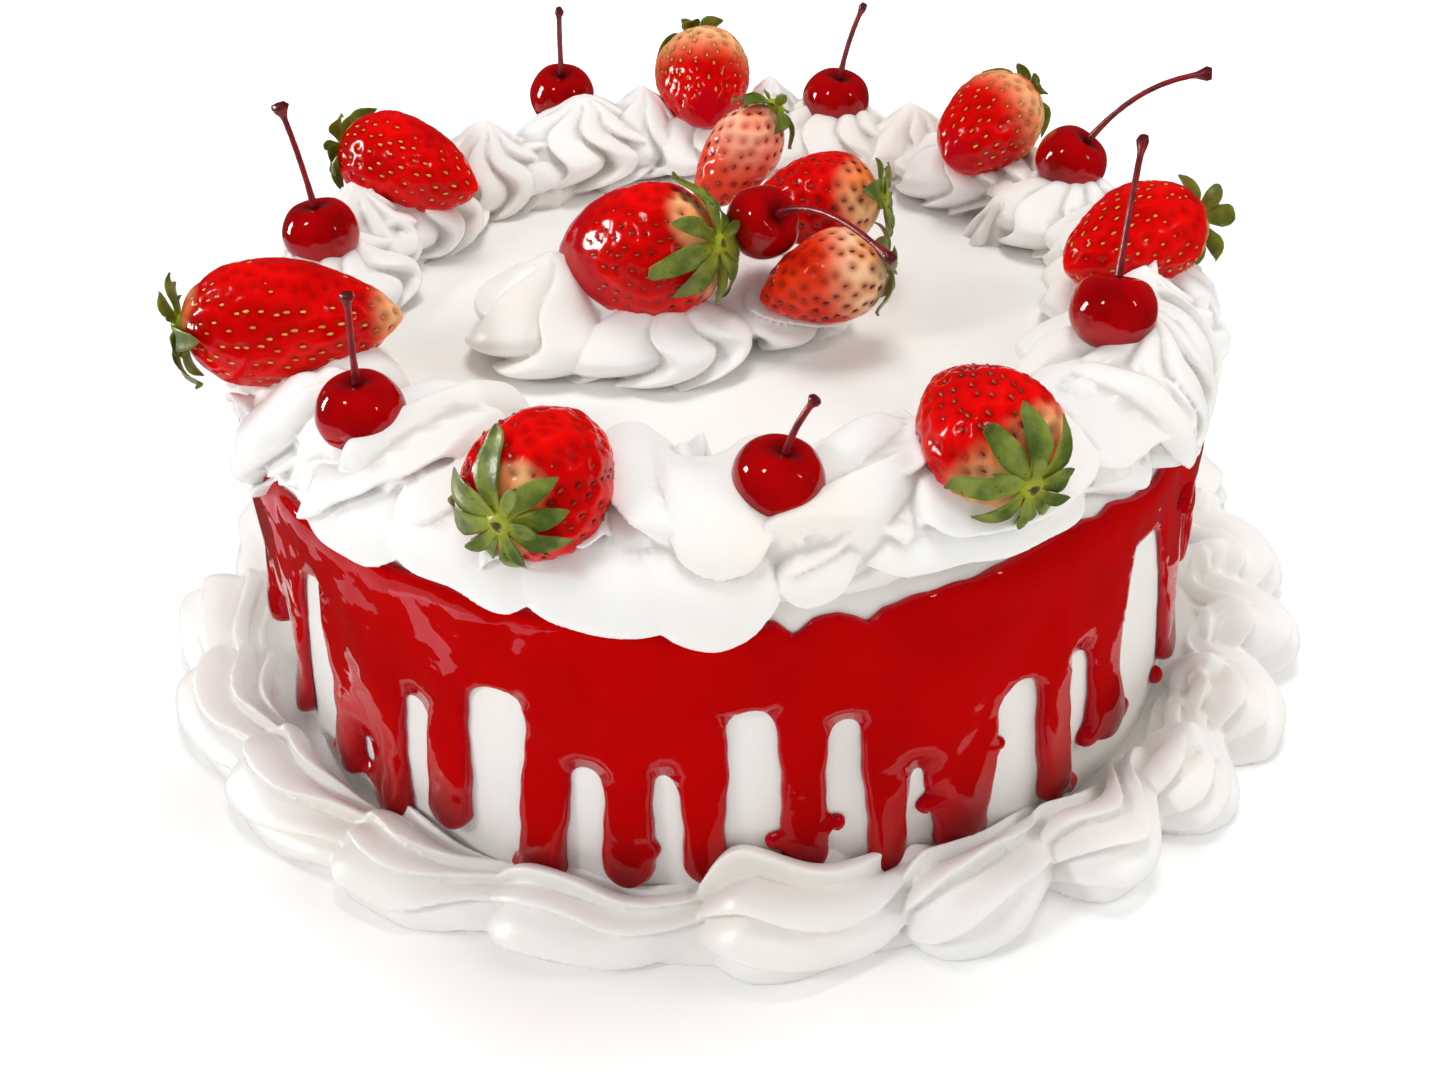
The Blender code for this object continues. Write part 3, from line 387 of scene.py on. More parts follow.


# the crease colour is painted shade laid into the creases of the cream
whiteCream = {
    "white": (0.90, 0.895, 0.885), "warm": (0.89, 0.868, 0.82), "blush": (0.92, 0.855, 0.80), "patch": 26.0,
    "blushSize": 14.0, "scatter": 0.12, "depth": 1.2, "roughness": 0.42, "shine": 0.3, "grain": 900.0, "swell": 160.0,
    "bump": 0.06, "creaseShade": (0.69, 0.66, 0.63),
}
# the base border's cream: the same cream painted whiter, with lighter painted crease shade, to stand in for more light
# falling on the base
footCreamPaintedBright = dict(whiteCream, white=(0.97, 0.962, 0.95), warm=(0.96, 0.935, 0.89), blush=(0.97, 0.92, 0.88),
                 creaseShade=(0.86, 0.80, 0.74))
cakeFrosting = dict(whiteCream, white=(0.89, 0.88, 0.86), warm=(0.87, 0.845, 0.80), blush=(0.89, 0.855, 0.82),
                    patch=12.0, roughness=0.5, grain=700.0, swell=60.0, bump=0.12)
# the pit colour is painted shade in the pits round the seeds
redBerry = {
    "red": (0.82, 0.002, 0.001), "deep": (0.56, 0.0, 0.0), "pale": (0.98, 0.58, 0.27), "blush": (0.95, 0.20, 0.04),
    "pit": (0.30, 0.001, 0.001), "coat": (0.48, 0.0, 0.006),
}
palePeach = dict(redBerry, red=(0.84, 0.05, 0.01), pale=(0.98, 0.68, 0.40), blush=(0.96, 0.38, 0.13))
pinkBerry = dict(redBerry, red=(0.94, 0.10, 0.04), deep=(0.90, 0.05, 0.02), pale=(0.98, 0.56, 0.36),
                 blush=(0.96, 0.28, 0.15), pit=(0.66, 0.01, 0.01))
greenLeaf = {
    "fresh": (0.22, 0.27, 0.035), "dark": (0.07, 0.115, 0.008), "heart": (0.33, 0.37, 0.015), "tip": (0.14, 0.10, 0.025),
    "speck": (0.05, 0.02, 0.005),
}
dryLeaf = dict(greenLeaf, fresh=(0.24, 0.23, 0.08), dark=(0.11, 0.12, 0.03), heart=(0.27, 0.30, 0.03))

frostingLook = creamMaterial("cakeFrosting", cakeFrosting)
creamLook = creamMaterial("pipedCream", whiteCream)
footLookPaintedBright = creamMaterial("footCreamPaintedBright", footCreamPaintedBright)
glazeLook = glazeMaterial()
berryLooks = {
    "red": berryMaterial("redBerrySkin", redBerry),
    "peach": berryMaterial("peachBerrySkin", palePeach),
    "pink": berryMaterial("pinkBerrySkin", pinkBerry),
}
seedLooks = {
    "gold": seedMaterial("goldSeeds", (0.80, 0.46, 0.06), (0.62, 0.22, 0.02)),
    "dark": seedMaterial("darkSeeds", (0.30, 0.05, 0.01), (0.14, 0.01, 0.004)),
}
leafLooks = {"green": leafMaterial("greenSepals", greenLeaf), "dry": leafMaterial("dryingSepals", dryLeaf)}
cherryLook = cherryMaterial()
stemLook = stemMaterial()
print("materials ready")


# cake body

def wallPoint(turn, height, offset):
    # a point at an arc height up the wall and round the shoulder, offset outwards; arrays in, arrays out
    straight = cake["height"] - cake["shoulder"]
    bend = np.clip((height - straight) / cake["shoulder"], 0, math.pi / 2)
    reach = cake["shoulder"] + offset
    radius = np.where(height > straight, cake["radius"] - cake["shoulder"] + reach * np.cos(bend),
                      cake["radius"] + offset)
    lift = np.where(height > straight, straight + reach * np.sin(bend), height)
    return np.stack((radius * np.cos(turn), radius * np.sin(turn), lift), axis=-1)


def buildCake():
    # wall, shoulder and top with the slight unevenness of a palette knife
    shape = {"wallRows": 44, "shoulderRows": 9, "topRows": 46, "strokes": 0.16}
    sides = cake["sides"]
    straight = cake["height"] - cake["shoulder"]
    around = np.arange(sides) * math.tau / sides
    rings = []
    heights = list(np.linspace(0, straight, shape["wallRows"]))
    heights += list(np.linspace(straight, straight + cake["shoulder"] * math.pi / 2, shape["shoulderRows"])[1:])
    for height in heights:
        rings.append(wallPoint(around, np.full(sides, height), np.zeros(sides)))
    edge = cake["radius"] - cake["shoulder"]
    for radius in np.linspace(edge, 1.5, shape["topRows"])[1:]:
        rings.append(np.stack((radius * np.cos(around), radius * np.sin(around), np.full(sides, cake["height"])), axis=-1))
    points = np.concatenate(rings)
    outward = points.copy()
    flat = np.hypot(points[:, 0], points[:, 1])
    onTop = points[:, 2] > cake["height"] - 0.01
    outward[:, 2] = 0
    outward /= np.maximum(flat, 1)[:, None]
    outward[onTop] = (0, 0, 1)
    dents = []
    for (x, y, z), top in zip(points.tolist(), onTop):
        if top:
            slow = noise.noise(Vector((x / 34, y / 26, 2.2)))
            stroke = noise.noise(Vector((x / 45, y / 3.5, 9.1)))
        else:
            turn = math.atan2(y, x)
            slow = noise.noise(Vector((turn * 5, math.sin(turn) * 2, z / 30)))
            stroke = noise.noise(Vector((turn * 6 + z / 20, 4.4, z / 2.6 + turn * 9)))
        dents.append(0.5 * slow + shape["strokes"] * stroke - 0.5)
    foot = smoothStep(0, 3, points[:, 2])
    points += outward * (np.array(dents) * cake["unevenness"] * foot)[:, None]
    faces = ringFaces(len(rings), sides, capStart=True, capEnd=True)
    addPiece("frostedCake", makeMesh("frostedCake", points, faces), "cake_body", "frosting", frostingLook)
    print("cake ready")


# glaze

glaze = {
    "thickness": 1.7, "edge": 2.3, "endBulge": 2.1, "fillet": 7.0, "ripple": 0.6, "ridge": 0.55, "step": 1.6, "contourStep": 1.1,
    "seed": 5, "unseen": 15,
    # seen drips: centre at 45 mm up and at 15 mm up, width at both, height of the end
    "drips": (
        (-161, -162, 10, 10, 27), (-149.5, -154.2, 8.5, 10.5, 6), (-139, -140.2, 9, 10.5, 9),
        (-131, -132.6, 13, 13.5, 4), (-121.8, -123.3, 12.4, 12, 13), (-109.8, -111.5, 11.5, 12.5, 5),
        (-101, -101.7, 12, 12, 10), (-93.3, -93.5, 11, 9.8, 13), (-83, -82.8, 11, 10.5, 15),
        (-74.2, -73.7, 11.5, 9.4, 6), (-65.4, -65.0, 20, 14, 9), (-53.3, -51.6, 10.5, 11, 9),
        (-44.6, -43, 13, 14, 19), (-28, -23, 12, 11, 12), (-17, -13, 7, 9, 33),
    ),
    # the sheet's split right of each drip: angle, height
    "splits": (
        (-155.7, 46), (-141.5, 69), (-135.7, 28.5), (-125.7, 52), (-115.5, 63), (-104.9, 46), (-97, 48.5),
        (-87.8, 64.5), (-79.1, 60), (-70.4, 44.5), (-57.6, 55), (-49.2, 55), (-35.4, 74), (-20.5, 66), (-9, 60),
    ),
    # extra beads at the ends: angle, height, radius
    "beads": (
        (-86.0, 24.5, 2.5), (-79.6, 28.0, 2.4), (-99.2, 21.5, 2.4), (-69.4, 27, 2.7), (-66.9, 13.5, 2.2),
        (-60.8, 38, 1.9), (-48.8, 10, 3.0), (-38.8, 20, 3.2), (-136.3, 13.5, 2.8), (-143.4, 12.5, 2.6),
        (-128.6, 6.5, 3.0), (-114.2, 8.5, 3.0), (-46.6, 23, 3.2), (-19.5, 14, 3.6), (-26.8, 12, 2.6),
    ),
    # upper edge: angle, arc height
    "upper": (
        (-160, 88), (-120, 88.4), (-100, 88), (-92, 88), (-88.5, 88.2), (-85.8, 88), (-84, 84.5), (-82.2, 87.4),
        (-79.4, 88.2), (-78, 87.2), (-76.7, 85.2), (-75, 88), (-72, 88.6), (-66, 89), (-60, 90.4), (-54, 91),
        (-50.5, 91.2), (-48.5, 89.6), (-46, 90.6), (-43.5, 89), (-40, 88.2), (-34, 88.5), (-20, 89), (20, 88), (90, 88),
        (150, 88),
    ),
}


def allDrips():
    drips = [(high, low, wide, narrow, end, split) for (high, low, wide, narrow, end), split
             in zip(glaze["drips"], glaze["splits"])]
    draw = random.Random(glaze["seed"])
    start = -18
    span = 360 - 161 - start
    step = span / (glaze["unseen"] + 1)
    for index in range(1, glaze["unseen"] + 1):
        angle = start + index * step + draw.uniform(-1.2, 1.2)
        width = draw.uniform(8.5, 12)
        low = draw.uniform(14, 30)
        split = draw.uniform(44, 66)
        drips.append((angle, angle + 0.6, width * 1.05, width, low, (angle + step / 2, split)))
    return drips


def smoothMax(a, b, soft):
    near = np.maximum(soft - np.abs(a - b), 0) / soft
    return np.maximum(a, b) + near * near * soft / 4


def glazeDepth(across, height):
    # distance inside the glaze's outline, at an arc length round the wall and an arc height
    reach = cake["radius"]
    lap = math.tau * reach
    drips = allDrips()
    middles = np.array([math.radians(drip[5][0]) * reach for drip in drips])
    splits = np.array([drip[5][1] for drip in drips])
    order = np.argsort(middles)
    middles, splits = middles[order], splits[order]
    wavy = 0.3 * np.sin(across / 3.1 + height / 7)

    def away(centre):
        return (across - centre + lap / 2) % lap - lap / 2

    nearest = np.full(across.shape, 1e9)
    base = np.zeros(across.shape)
    for middle, split in zip(middles, splits):
        side = np.abs(away(middle))
        base = np.where(side < nearest, split, base)
        nearest = np.minimum(nearest, side)
    inside = height - base + wavy * 0.4
    for high, low, wide, narrow, end, _ in drips:
        share = np.clip((45 - height) / 30, -1.2, 1.3)
        turn = high + (low - high) * share
        half = (wide + (narrow - wide) * np.clip(share, 0, 1)) / 2
        side = away(np.radians(turn) * reach)
        half = half * (1 - 0.06 * np.cos(height / 5.5 + high)) + 0.12 * np.sin(height / 1.7 + high * 7)
        middle = end + narrow / 2
        body = half - np.abs(side)
        tip = narrow / 2 * 1.06 - np.hypot(side, np.minimum(height - middle, 0))
        drip = np.where(height > middle, body, tip)
        blend = smoothStep(middle - 2, middle + 6, height)
        drip = np.where(height > middle, tip * (1 - blend) + body * blend, tip)
        drip = np.where(np.abs(side) > 30, -30, drip)
        inside = smoothMax(inside, drip, glaze["fillet"])
    for angle, lift, radius in glaze["beads"]:
        bead = radius - np.hypot(away(math.radians(angle) * reach), height - lift)
        inside = smoothMax(inside, np.maximum(bead, -20), 1.6)
    angles, tops = zip(*glaze["upper"])
    turns = np.degrees(across / reach)
    turns = np.where(turns < angles[0], turns + 360, turns)
    top = np.interp(turns, angles + (angles[0] + 360,), tops + (tops[0],))
    top = top + 0.35 * np.sin(across / 2.3) * np.cos(across / 5.1)
    return -smoothMax(-inside, height - top, 2.2)


def contourLines(grid, field):
    # lines where the field crosses zero, from a grid of (x, y) values, as lists of points
    columns, rows = field.shape[0] - 1, field.shape[1] - 1
    signs = field > 0
    crossings = {}

    def cross(a, b):
        key = (a, b) if a < b else (b, a)
        if key not in crossings:
            (ax, ay), (bx, by) = key
            share = field[ax, ay] / (field[ax, ay] - field[bx, by])
            crossings[key] = grid[ax, ay] + (grid[bx, by] - grid[ax, ay]) * share
        return key

    links = {}
    mixed = signs[:-1, :-1].astype(int) + signs[1:, :-1] + signs[:-1, 1:] + signs[1:, 1:]
    for column, row in zip(*np.nonzero((mixed > 0) & (mixed < 4))):
        corners = [(column, row), (column + 1, row), (column + 1, row + 1), (column, row + 1)]
        hits = [cross(a, b) for a, b in zip(corners, corners[1:] + corners[:1]) if signs[a] != signs[b]]
        if len(hits) == 4 and signs[corners[0]]:
            hits = hits[1:] + hits[:1]
        for a, b in zip(hits[::2], hits[1::2]):
            links.setdefault(a, []).append(b)
            links.setdefault(b, []).append(a)
    lines = []
    left = set(links)
    ends = [key for key in links if len(links[key]) == 1]
    for start in ends + sorted(left):
        if start not in left:
            continue
        line = [start]
        left.discard(start)
        while True:
            following = [key for key in links[line[-1]] if key in left]
            if not following:
                break
            line.append(following[0])
            left.discard(following[0])
        closed = len(line) > 2 and start in links[line[-1]]
        lines.append((np.array([crossings[key] for key in line]), closed))
    return lines


def evenSteps(line, closed, step):
    if closed:
        line = np.concatenate((line, line[:1]))
    lengths = np.concatenate(((0,), np.cumsum(np.hypot(*np.diff(line, axis=0).T))))
    count = max(3, int(round(lengths[-1] / step)))
    marks = np.linspace(0, lengths[-1], count + 1)
    even = np.stack((np.interp(marks, lengths, line[:, 0]), np.interp(marks, lengths, line[:, 1])), axis=-1)
    return even[:-1] if closed else even


def buildGlaze():
    reach = cake["radius"]
    half = math.pi * reach
    columns = int(2 * half / 0.7)
    xs = np.linspace(-half, half, columns + 1)
    ys = np.arange(4, 95, 0.7)
    grid = np.stack(np.meshgrid(xs, ys, indexing="ij"), axis=-1)
    field = glazeDepth(grid[..., 0], grid[..., 1])
    field[-1] = field[0]
    points, edges = [], []
    rows = (0.35, 0.95, 1.8, 2.9)
    for line, closed in contourLines(grid, field):
        even = evenSteps(line, closed, glaze["contourStep"])
        if len(even) < 8:
            continue
        first = len(points)
        points.extend(even.tolist())
        edges.extend((first + index, first + index + 1) for index in range(len(even) - 1))
        if closed:
            edges.append((first + len(even) - 1, first))
    onRim = len(points)

    def depthAt(places):
        return glazeDepth(places[:, 0], places[:, 1])

    rim = np.array(points)
    small = 0.2
    slope = np.stack((depthAt(rim + (small, 0)) - depthAt(rim - (small, 0)),
                      depthAt(rim + (0, small)) - depthAt(rim - (0, small))), axis=-1)
    slope /= np.maximum(np.hypot(slope[:, 0], slope[:, 1]), 1e-6)[:, None]
    for number, inward in enumerate(rows):
        moved = rim + slope * inward
        depth = depthAt(moved)
        keep = (depth > inward * 0.75) & (np.abs(moved[:, 0]) < half - 0.3)
        keep &= np.arange(len(rim)) % (1 if number < 2 else 2) == 0
        points.extend(moved[keep].tolist())
    step = glaze["step"]
    seam = np.arange(5, 94, step)
    seamPlaces = np.stack((np.full(len(seam), -half), seam), axis=-1)
    seamPlaces = seamPlaces[depthAt(seamPlaces) > 0.5]
    first = len(points)
    points.extend(seamPlaces.tolist())
    points.extend((seamPlaces * (-1, 1)).tolist())
    fill = []
    for row, height in enumerate(np.arange(4, 94, step * 0.87)):
        offset = (row % 2) * step / 2
        for across in np.arange(-half + step * 0.6 + offset, half - step * 0.5, step):
            fill.append((across, height))
    fill = np.array(fill)
    fill = fill[depthAt(fill) > rows[-1] + step * 0.55]
    points.extend(fill.tolist())
    result = geometry.delaunay_2d_cdt([Vector(point) for point in points], edges, [], 0, 1e-4)
    places = np.array([tuple(point) for point in result[0]])
    triangles = [tuple(face) for face in result[2]]
    middles = places[np.array(triangles)].mean(axis=1)
    inside = depthAt(middles) > 0
    triangles = [face for face, kept in zip(triangles, inside) if kept]
    used = sorted({corner for face in triangles for corner in face})
    renumber = {old: new for new, old in enumerate(used)}
    triangles = [tuple(renumber[corner] for corner in face) for face in triangles]
    places = places[used]
    depth = np.maximum(depthAt(places), 0)
    # which points are on the rim
    rimKeys = {(round(x, 2), round(y, 2)) for x, y in rim.tolist()}
    onRim = np.array([(round(x, 2), round(y, 2)) in rimKeys for x, y in places.tolist()])
    depth[onRim] = 0
    share = np.clip(depth / glaze["edge"], 0, 1)
    crown = np.sqrt(1 - (1 - share) ** 2)
    drops = np.zeros(len(places))
    runs = np.zeros(len(places))
    for high, low, wide, narrow, end, _ in allDrips():
        away = (places[:, 0] - math.radians(low) * reach + half) % (2 * half) - half
        gone = np.hypot(away / (narrow * 0.62), (places[:, 1] - end - narrow * 0.45) / (narrow * 0.95))
        drops = np.maximum(drops, np.exp(-gone ** 2 * 1.2))
        run = (places[:, 0] - math.radians(high) * reach + half) % (2 * half) - half
        runs = np.maximum(runs, np.exp(-(run / (wide * 0.42)) ** 2) * smoothStep(86, 60, places[:, 1]))
    waves = np.array([noise.noise(Vector((math.cos(x / reach) * 8, math.sin(x / reach) * 8, y / 20)))
                      + 0.5 * noise.noise(Vector((math.cos(x / reach) * 17 + 5, math.sin(x / reach) * 17, y / 9)))
                      for x, y in places.tolist()])
    thick = glaze["thickness"] + glaze["ripple"] * waves * 1.6 + glaze["endBulge"] * drops + glaze["ridge"] * runs
    thick *= 1 - 0.35 * smoothStep(82, 90, places[:, 1])
    offset = cake["gap"] + np.maximum(thick, 0.5) * crown
    turn = places[:, 0] / reach
    front = wallPoint(turn, places[:, 1], offset)
    back = wallPoint(turn, places[:, 1], np.full(len(places), cake["gap"] * 0.5))
    count = len(places)
    faces = list(triangles)
    for a, b, c in triangles:
        faces.append((c + count, b + count, a + count))
    sides = {}
    for face in triangles:
        for a, b in zip(face, face[1:] + face[:1]):
            sides[(a, b)] = True
    for a, b in sides:
        if (b, a) not in sides and abs(abs(places[a, 0]) - half) + abs(abs(places[b, 0]) - half) > 1e-3:
            faces.append((b, a, a + count, b + count))
    mesh = makeMesh("redGlaze", np.concatenate((front, back)), faces)
    both = np.concatenate((drops, drops))
    paint(mesh, "thick", np.clip(both * 0.9, 0, 1))
    rimMask = 1 - smoothStep(0.0, 1.6, depth)
    paint(mesh, "rim", np.concatenate((rimMask, rimMask)) * 0.7)
    addPiece("redGlaze", mesh, "red_glaze", "glaze", glazeLook)
    print(f"glaze ready: {len(faces)} faces")


# piped cream

piping = {
    "steps": 20, "rows": 30, "depth": 0.38, "lean": 0.30, "peakAt": 0.60, "roundness": 0.8, "seed": 3,
    "swirlDepth": 0.34, "swirlPeakAt": 0.3, "swirlLean": -0.14, "swirlRoundness": 0.55, "swirlFall": 0.95,
    "lipAt": 0.2, "lipLean": -0.2,
    "droopStart": 114, "droopRate": 0.02, "droopLimit": 5.5, "spreadLimit": 130, "spreadShare": 0.55,
    # how far the rim hangs over the edge besides: angle, drop
    "hang": (
        (-180, 5), (-165, 8), (-152, 6), (-144, 4), (-135, 2.5), (-116, 0.5), (-110, 0), (-106, 2), (-101, 1),
        (-93, 2), (-88.7, 1), (-85, 0), (-80, 0), (-60, 0), (-40, 0), (-30, -1), (-15, -3), (0, 0), (30, 4), (90, 5),
        (150, 5), (180, 5),
    ),
    # lift and reach of a full swirl, and of a pointed one
    "full": ((0, 0.78), (0.08, 0.92), (0.2, 1), (0.38, 0.97), (0.56, 0.86), (0.74, 0.66), (0.88, 0.42), (0.97, 0.2)),
    "pointed": ((0, 0.8), (0.08, 0.95), (0.18, 1), (0.34, 0.88), (0.52, 0.66), (0.7, 0.44), (0.86, 0.24), (0.97, 0.1)),
    # ring angle, ring radius, radius, height, ridges, twist, sway, point
    "dollops": (
        (201, 107, 24, 20, 8, 70, 22, 0.1), (171.5, 107, 23, 21, 8, 75, 24, 0.1), (147.7, 106, 24, 20, 8, 75, 24, 0.1),
        (113.5, 107, 24, 24, 9, 75, 30, 0.2), (91.6, 107, 23, 22, 8, 70, 28, 0.1), (69.6, 106, 22.5, 22, 9, 75, 28, 0.2),
        (45, 104, 22, 20, 8, 75, 24, 0.1), (24, 107, 22, 20, 8, 70, 24, 0.1), (-3.2, 106, 24, 20, 8, 75, 22, 0.1),
        (-26, 106, 27, 25, 9, 70, 22, 0.2), (-57, 105, 23, 17, 6, 110, 24, 0.1), (-84.3, 107, 24, 17, 6, 110, 24, 0.1),
        (-110, 107, 23, 17, 6, 105, 22, 0.1), (-135, 108, 24, 19, 7, 90, 22, 0.1), (186, 107, 17, 22, 7, 65, 18, 0.6),
        (159.5, 106, 16, 25, 7, 65, 18, 0.7), (130.5, 106, 19, 23, 8, 70, 28, 0.5), (102, 107, 17, 24, 7, 65, 26, 0.5),
        (80.5, 107, 17, 25, 7, 65, 24, 0.6), (57, 106, 16, 22, 7, 65, 22, 0.5), (10.5, 106, 17, 23, 7, 65, 22, 0.6),
        (-14, 108, 18, 23, 7, 60, 18, 0.7), (-42, 106, 19, 20, 7, 65, 20, 0.5), (-71, 107, 17, 16, 6, 65, 20, 0.5),
        (-97, 107, 17, 17, 6, 65, 20, 0.6), (-122.5, 108, 18, 18, 6, 65, 20, 0.6), (-148, 107, 19, 20, 6, 65, 20, 0.5),
    ),
    # x, y, radius, height, ridges, twist, sway, point
    "mound": ((-42, -10, 26, 25, 6, 95, 24, 0.75), (-17, -17, 26, 19, 6, 80, 24, 0.1), (12, 0, 24, 15, 6, -65, 20, 0.1)),
    # the zigzag rope under the swirls
    "rope": {
        "ring": 109, "swing": 9.5, "loop": 2.2, "swings": 22, "unevenness": 0.8, "lift": 96, "radius": 11.5, "flat": 0.95,
        "ridges": 6, "twists": 9, "points": 620,
    },
    # broad strokes that show at the front: line, radius, ridges, twist
    "strokes": (
        (((-46, -52, 98), (-70, -72, 103), (-90, -82, 101), (-99, -84, 96)), 14, 4, 80),
        (((-8, -82, 99), (-18, -94, 104), (-12, -114, 101), (2, -126, 94)), 14, 4, 90),
        (((44, -82, 100), (32, -98, 105), (14, -116, 101), (-1, -126, 95)), 14, 4, -90),
        (((-84, -56, 100), (-102, -61, 103), (-112, -59, 99), (-116, -55, 95)), 12, 4, 80),
        (((-76, -40, 98), (-92, -44, 103), (-110, -36, 102), (-121, -25, 95)), 12, 4, -80),
        (((88, -30, 102), (103, -34, 105), (113, -43, 101), (117, -50, 95)), 10.5, 4, 70),
        (((70, -58, 100), (90, -65, 103), (101, -71, 99), (105, -72, 95)), 10.5, 4, -80),
    ),
    # pulled peaks: foot, tip, radius, ridges
    "peaks": (
        (-99, 14, -102.8, 15.8, 113, 10, 6), (-95, 44, -96.6, 47.2, 113, 9.5, 6), (-92, -34, -91.1, -31.2, 109, 11, 6),
        (104, -24, 108.1, -19.9, 115, 11, 6), (113, -28, 122, -24.1, 107, 10, 5), (112, -42, 125, -38.8, 101, 10, 5),
        (-8, -74, -4.4, -72.3, 104, 8.5, 5), (34, -74, 30.9, -71.1, 103, 9, 5), (14, 108, 13.3, 111.4, 113, 9, 6),
        (78, 42, 78.8, 38.7, 105, 8, 6), (52, 88, 49.6, 86.8, 105, 8, 6),
        (88, -64, 90, -60, 106, 9, 5), (-112, -50, -119.6, -46, 100, 8, 5),
    ),
}


def ridgedTurn(ridges, draw, steps, peakAt, lean, roundness, fall=None):
    # one turn of a star nozzle's outline: angle and crest height, with full flanks and leaning crests
    widths = np.array([1 + draw.uniform(-0.22, 0.22) for _ in range(ridges)])
    widths *= math.tau / widths.sum()
    growth = np.array([1 + draw.uniform(-0.09, 0.09) for _ in range(ridges)])
    angles, crests, sizes = [], [], []
    start = 0.0
    share = np.arange(steps) / steps
    half = np.where(share < peakAt, 0.5 * share / peakAt, 0.5 + 0.5 * (share - peakAt) / (1 - peakAt))
    crest = np.sin(math.pi * half) ** np.where(share < peakAt, roundness, fall or roundness)
    for ridge in range(ridges):
        angles.append(start + widths[ridge] * (share + lean * crest ** 2))
        crests.append(crest)
        after = growth[(ridge + 1) % ridges]
        sizes.append(growth[ridge] * (1 - share) + after * share)
        start += widths[ridge]
    return np.concatenate(angles), np.concatenate(crests), np.concatenate(sizes)


def droop(points):
    # cream past the cake's edge spreads less and hangs over the shoulder
    radius = np.hypot(points[:, 0], points[:, 1])
    turn = np.degrees(np.arctan2(points[:, 1], points[:, 0]))
    fall = np.minimum(piping["droopLimit"], piping["droopRate"] * np.maximum(radius - piping["droopStart"], 0) ** 2)
    turns, drops = zip(*piping["hang"])
    points[:, 2] -= fall + np.interp(turn, turns, drops) * smoothStep(112, 128, radius)
    spread = piping["spreadLimit"] + (radius - piping["spreadLimit"]) * piping["spreadShare"]
    scale = np.where(radius > piping["spreadLimit"], spread / np.maximum(radius, 1), 1)
    points[:, :2] *= scale[:, None]
    return points


def swirl(x, y, radius, height, ridges, twist, sway, point, draw, foot=cake["height"]):
    # a star-piped swirl: ridges rise from its foot and turn towards its peak
    phase = draw.uniform(0, math.tau)
    angles, crests, sizes = ridgedTurn(ridges, draw, piping["steps"], piping["swirlPeakAt"], piping["swirlLean"],
                                       piping["swirlRoundness"], piping["swirlFall"])
    count = len(angles)
    rows = piping["rows"]
    lifts, full = zip(*piping["full"])
    _, keen = zip(*piping["pointed"])
    rises = np.linspace(0, lifts[-1], rows)
    knots = np.linspace(0, 1, len(lifts))
    places = np.interp(rises, lifts, knots)
    reaches = np.interp(places, knots, np.array(full) * (1 - point) + np.array(keen) * point)
    reaches = np.convolve(np.concatenate((reaches[:1], reaches, reaches[-1:])), (0.25, 0.5, 0.25), "valid")
    rings = []
    for rise, reach in zip([-0.3, *rises], [reaches[0] * 0.75, *reaches]):
        up = max(rise, 0)
        depth = piping["swirlDepth"] * (1 - 0.3 * up)
        size = radius * reach * (1 - depth * (1 - crests)) * sizes
        swing = angles + phase + math.radians(twist) * up ** 1.1 + math.radians(sway) * math.sin(math.tau * up * 0.95)
        curl = 1.2 * crests * math.sin(math.pi * min(1, up * 1.4))  # crests stand up a little
        rings.append(np.stack((x + size * np.cos(swing), y + size * np.sin(swing), foot + rise * height + curl), -1))
    points = np.concatenate(rings)
    tip = np.array([[x, y, foot + height * (1 + 0.08 * point)]])
    points = np.concatenate((points, tip))
    faces = ringFaces(len(rings), count, capStart=True)
    last = (len(rings) - 1) * count
    faces += [(last + index, last + (index + 1) % count, len(points) - 1) for index in range(count)]
    return points, faces


def smoothLine(corners, steps):
    # a rounded line through a few corners (Catmull-Rom)
    corners = np.array(corners, dtype=float)
    padded = np.concatenate((2 * corners[:1] - corners[1:2], corners, 2 * corners[-1:] - corners[-2:-1]))
    line = []
    for index in range(len(corners) - 1):
        a, b, c, d = padded[index:index + 4]
        for share in np.linspace(0, 1, steps, endpoint=False):
            line.append(0.5 * (2 * b + (c - a) * share + (2 * a - 5 * b + 4 * c - d) * share ** 2
                               + (3 * b - a - 3 * c + d) * share ** 3))
    return np.array([*line, corners[-1]])


def pipedStroke(line, radii, ridges, twist, draw, closed=False, flat=1.0, steps=14, fall=None):
    # a star nozzle's stroke along a line, its ridges turning slowly round it
    peakAt = piping["lipAt"] if fall else piping["peakAt"]
    lean = piping["lipLean"] if fall else piping["lean"]
    angles, crests, sizes = ridgedTurn(ridges, draw, steps, peakAt, lean, piping["roundness"], fall)
    if closed:
        ahead = np.roll(line, -1, axis=0) - np.roll(line, 1, axis=0)
    else:
        ahead = np.gradient(line, axis=0)
    ahead /= np.linalg.norm(ahead, axis=1)[:, None]
    side = np.cross(ahead, (0, 0, 1.0))
    side /= np.linalg.norm(side, axis=1)[:, None]
    top = np.cross(side, ahead)
    share = np.arange(len(line)) / (len(line) if closed else len(line) - 1)
    swing = angles[None, :] + math.radians(twist) * share[:, None]
    reach = np.asarray(radii)[:, None] * ((1 - piping["depth"] * (1 - crests)) * sizes)[None, :]
    points = (line[:, None, :] + side[:, None, :] * (reach * np.cos(swing))[:, :, None]
              + top[:, None, :] * (flat * reach * np.sin(swing))[:, :, None])
    count = len(angles)
    faces = ringFaces(len(line), count, capStart=not closed, capEnd=not closed)
    if closed:
        last = (len(line) - 1) * count
        for index in range(count):
            after = (index + 1) % count
            faces.append((last + index, last + after, after, index))
    return points.reshape(-1, 3), faces


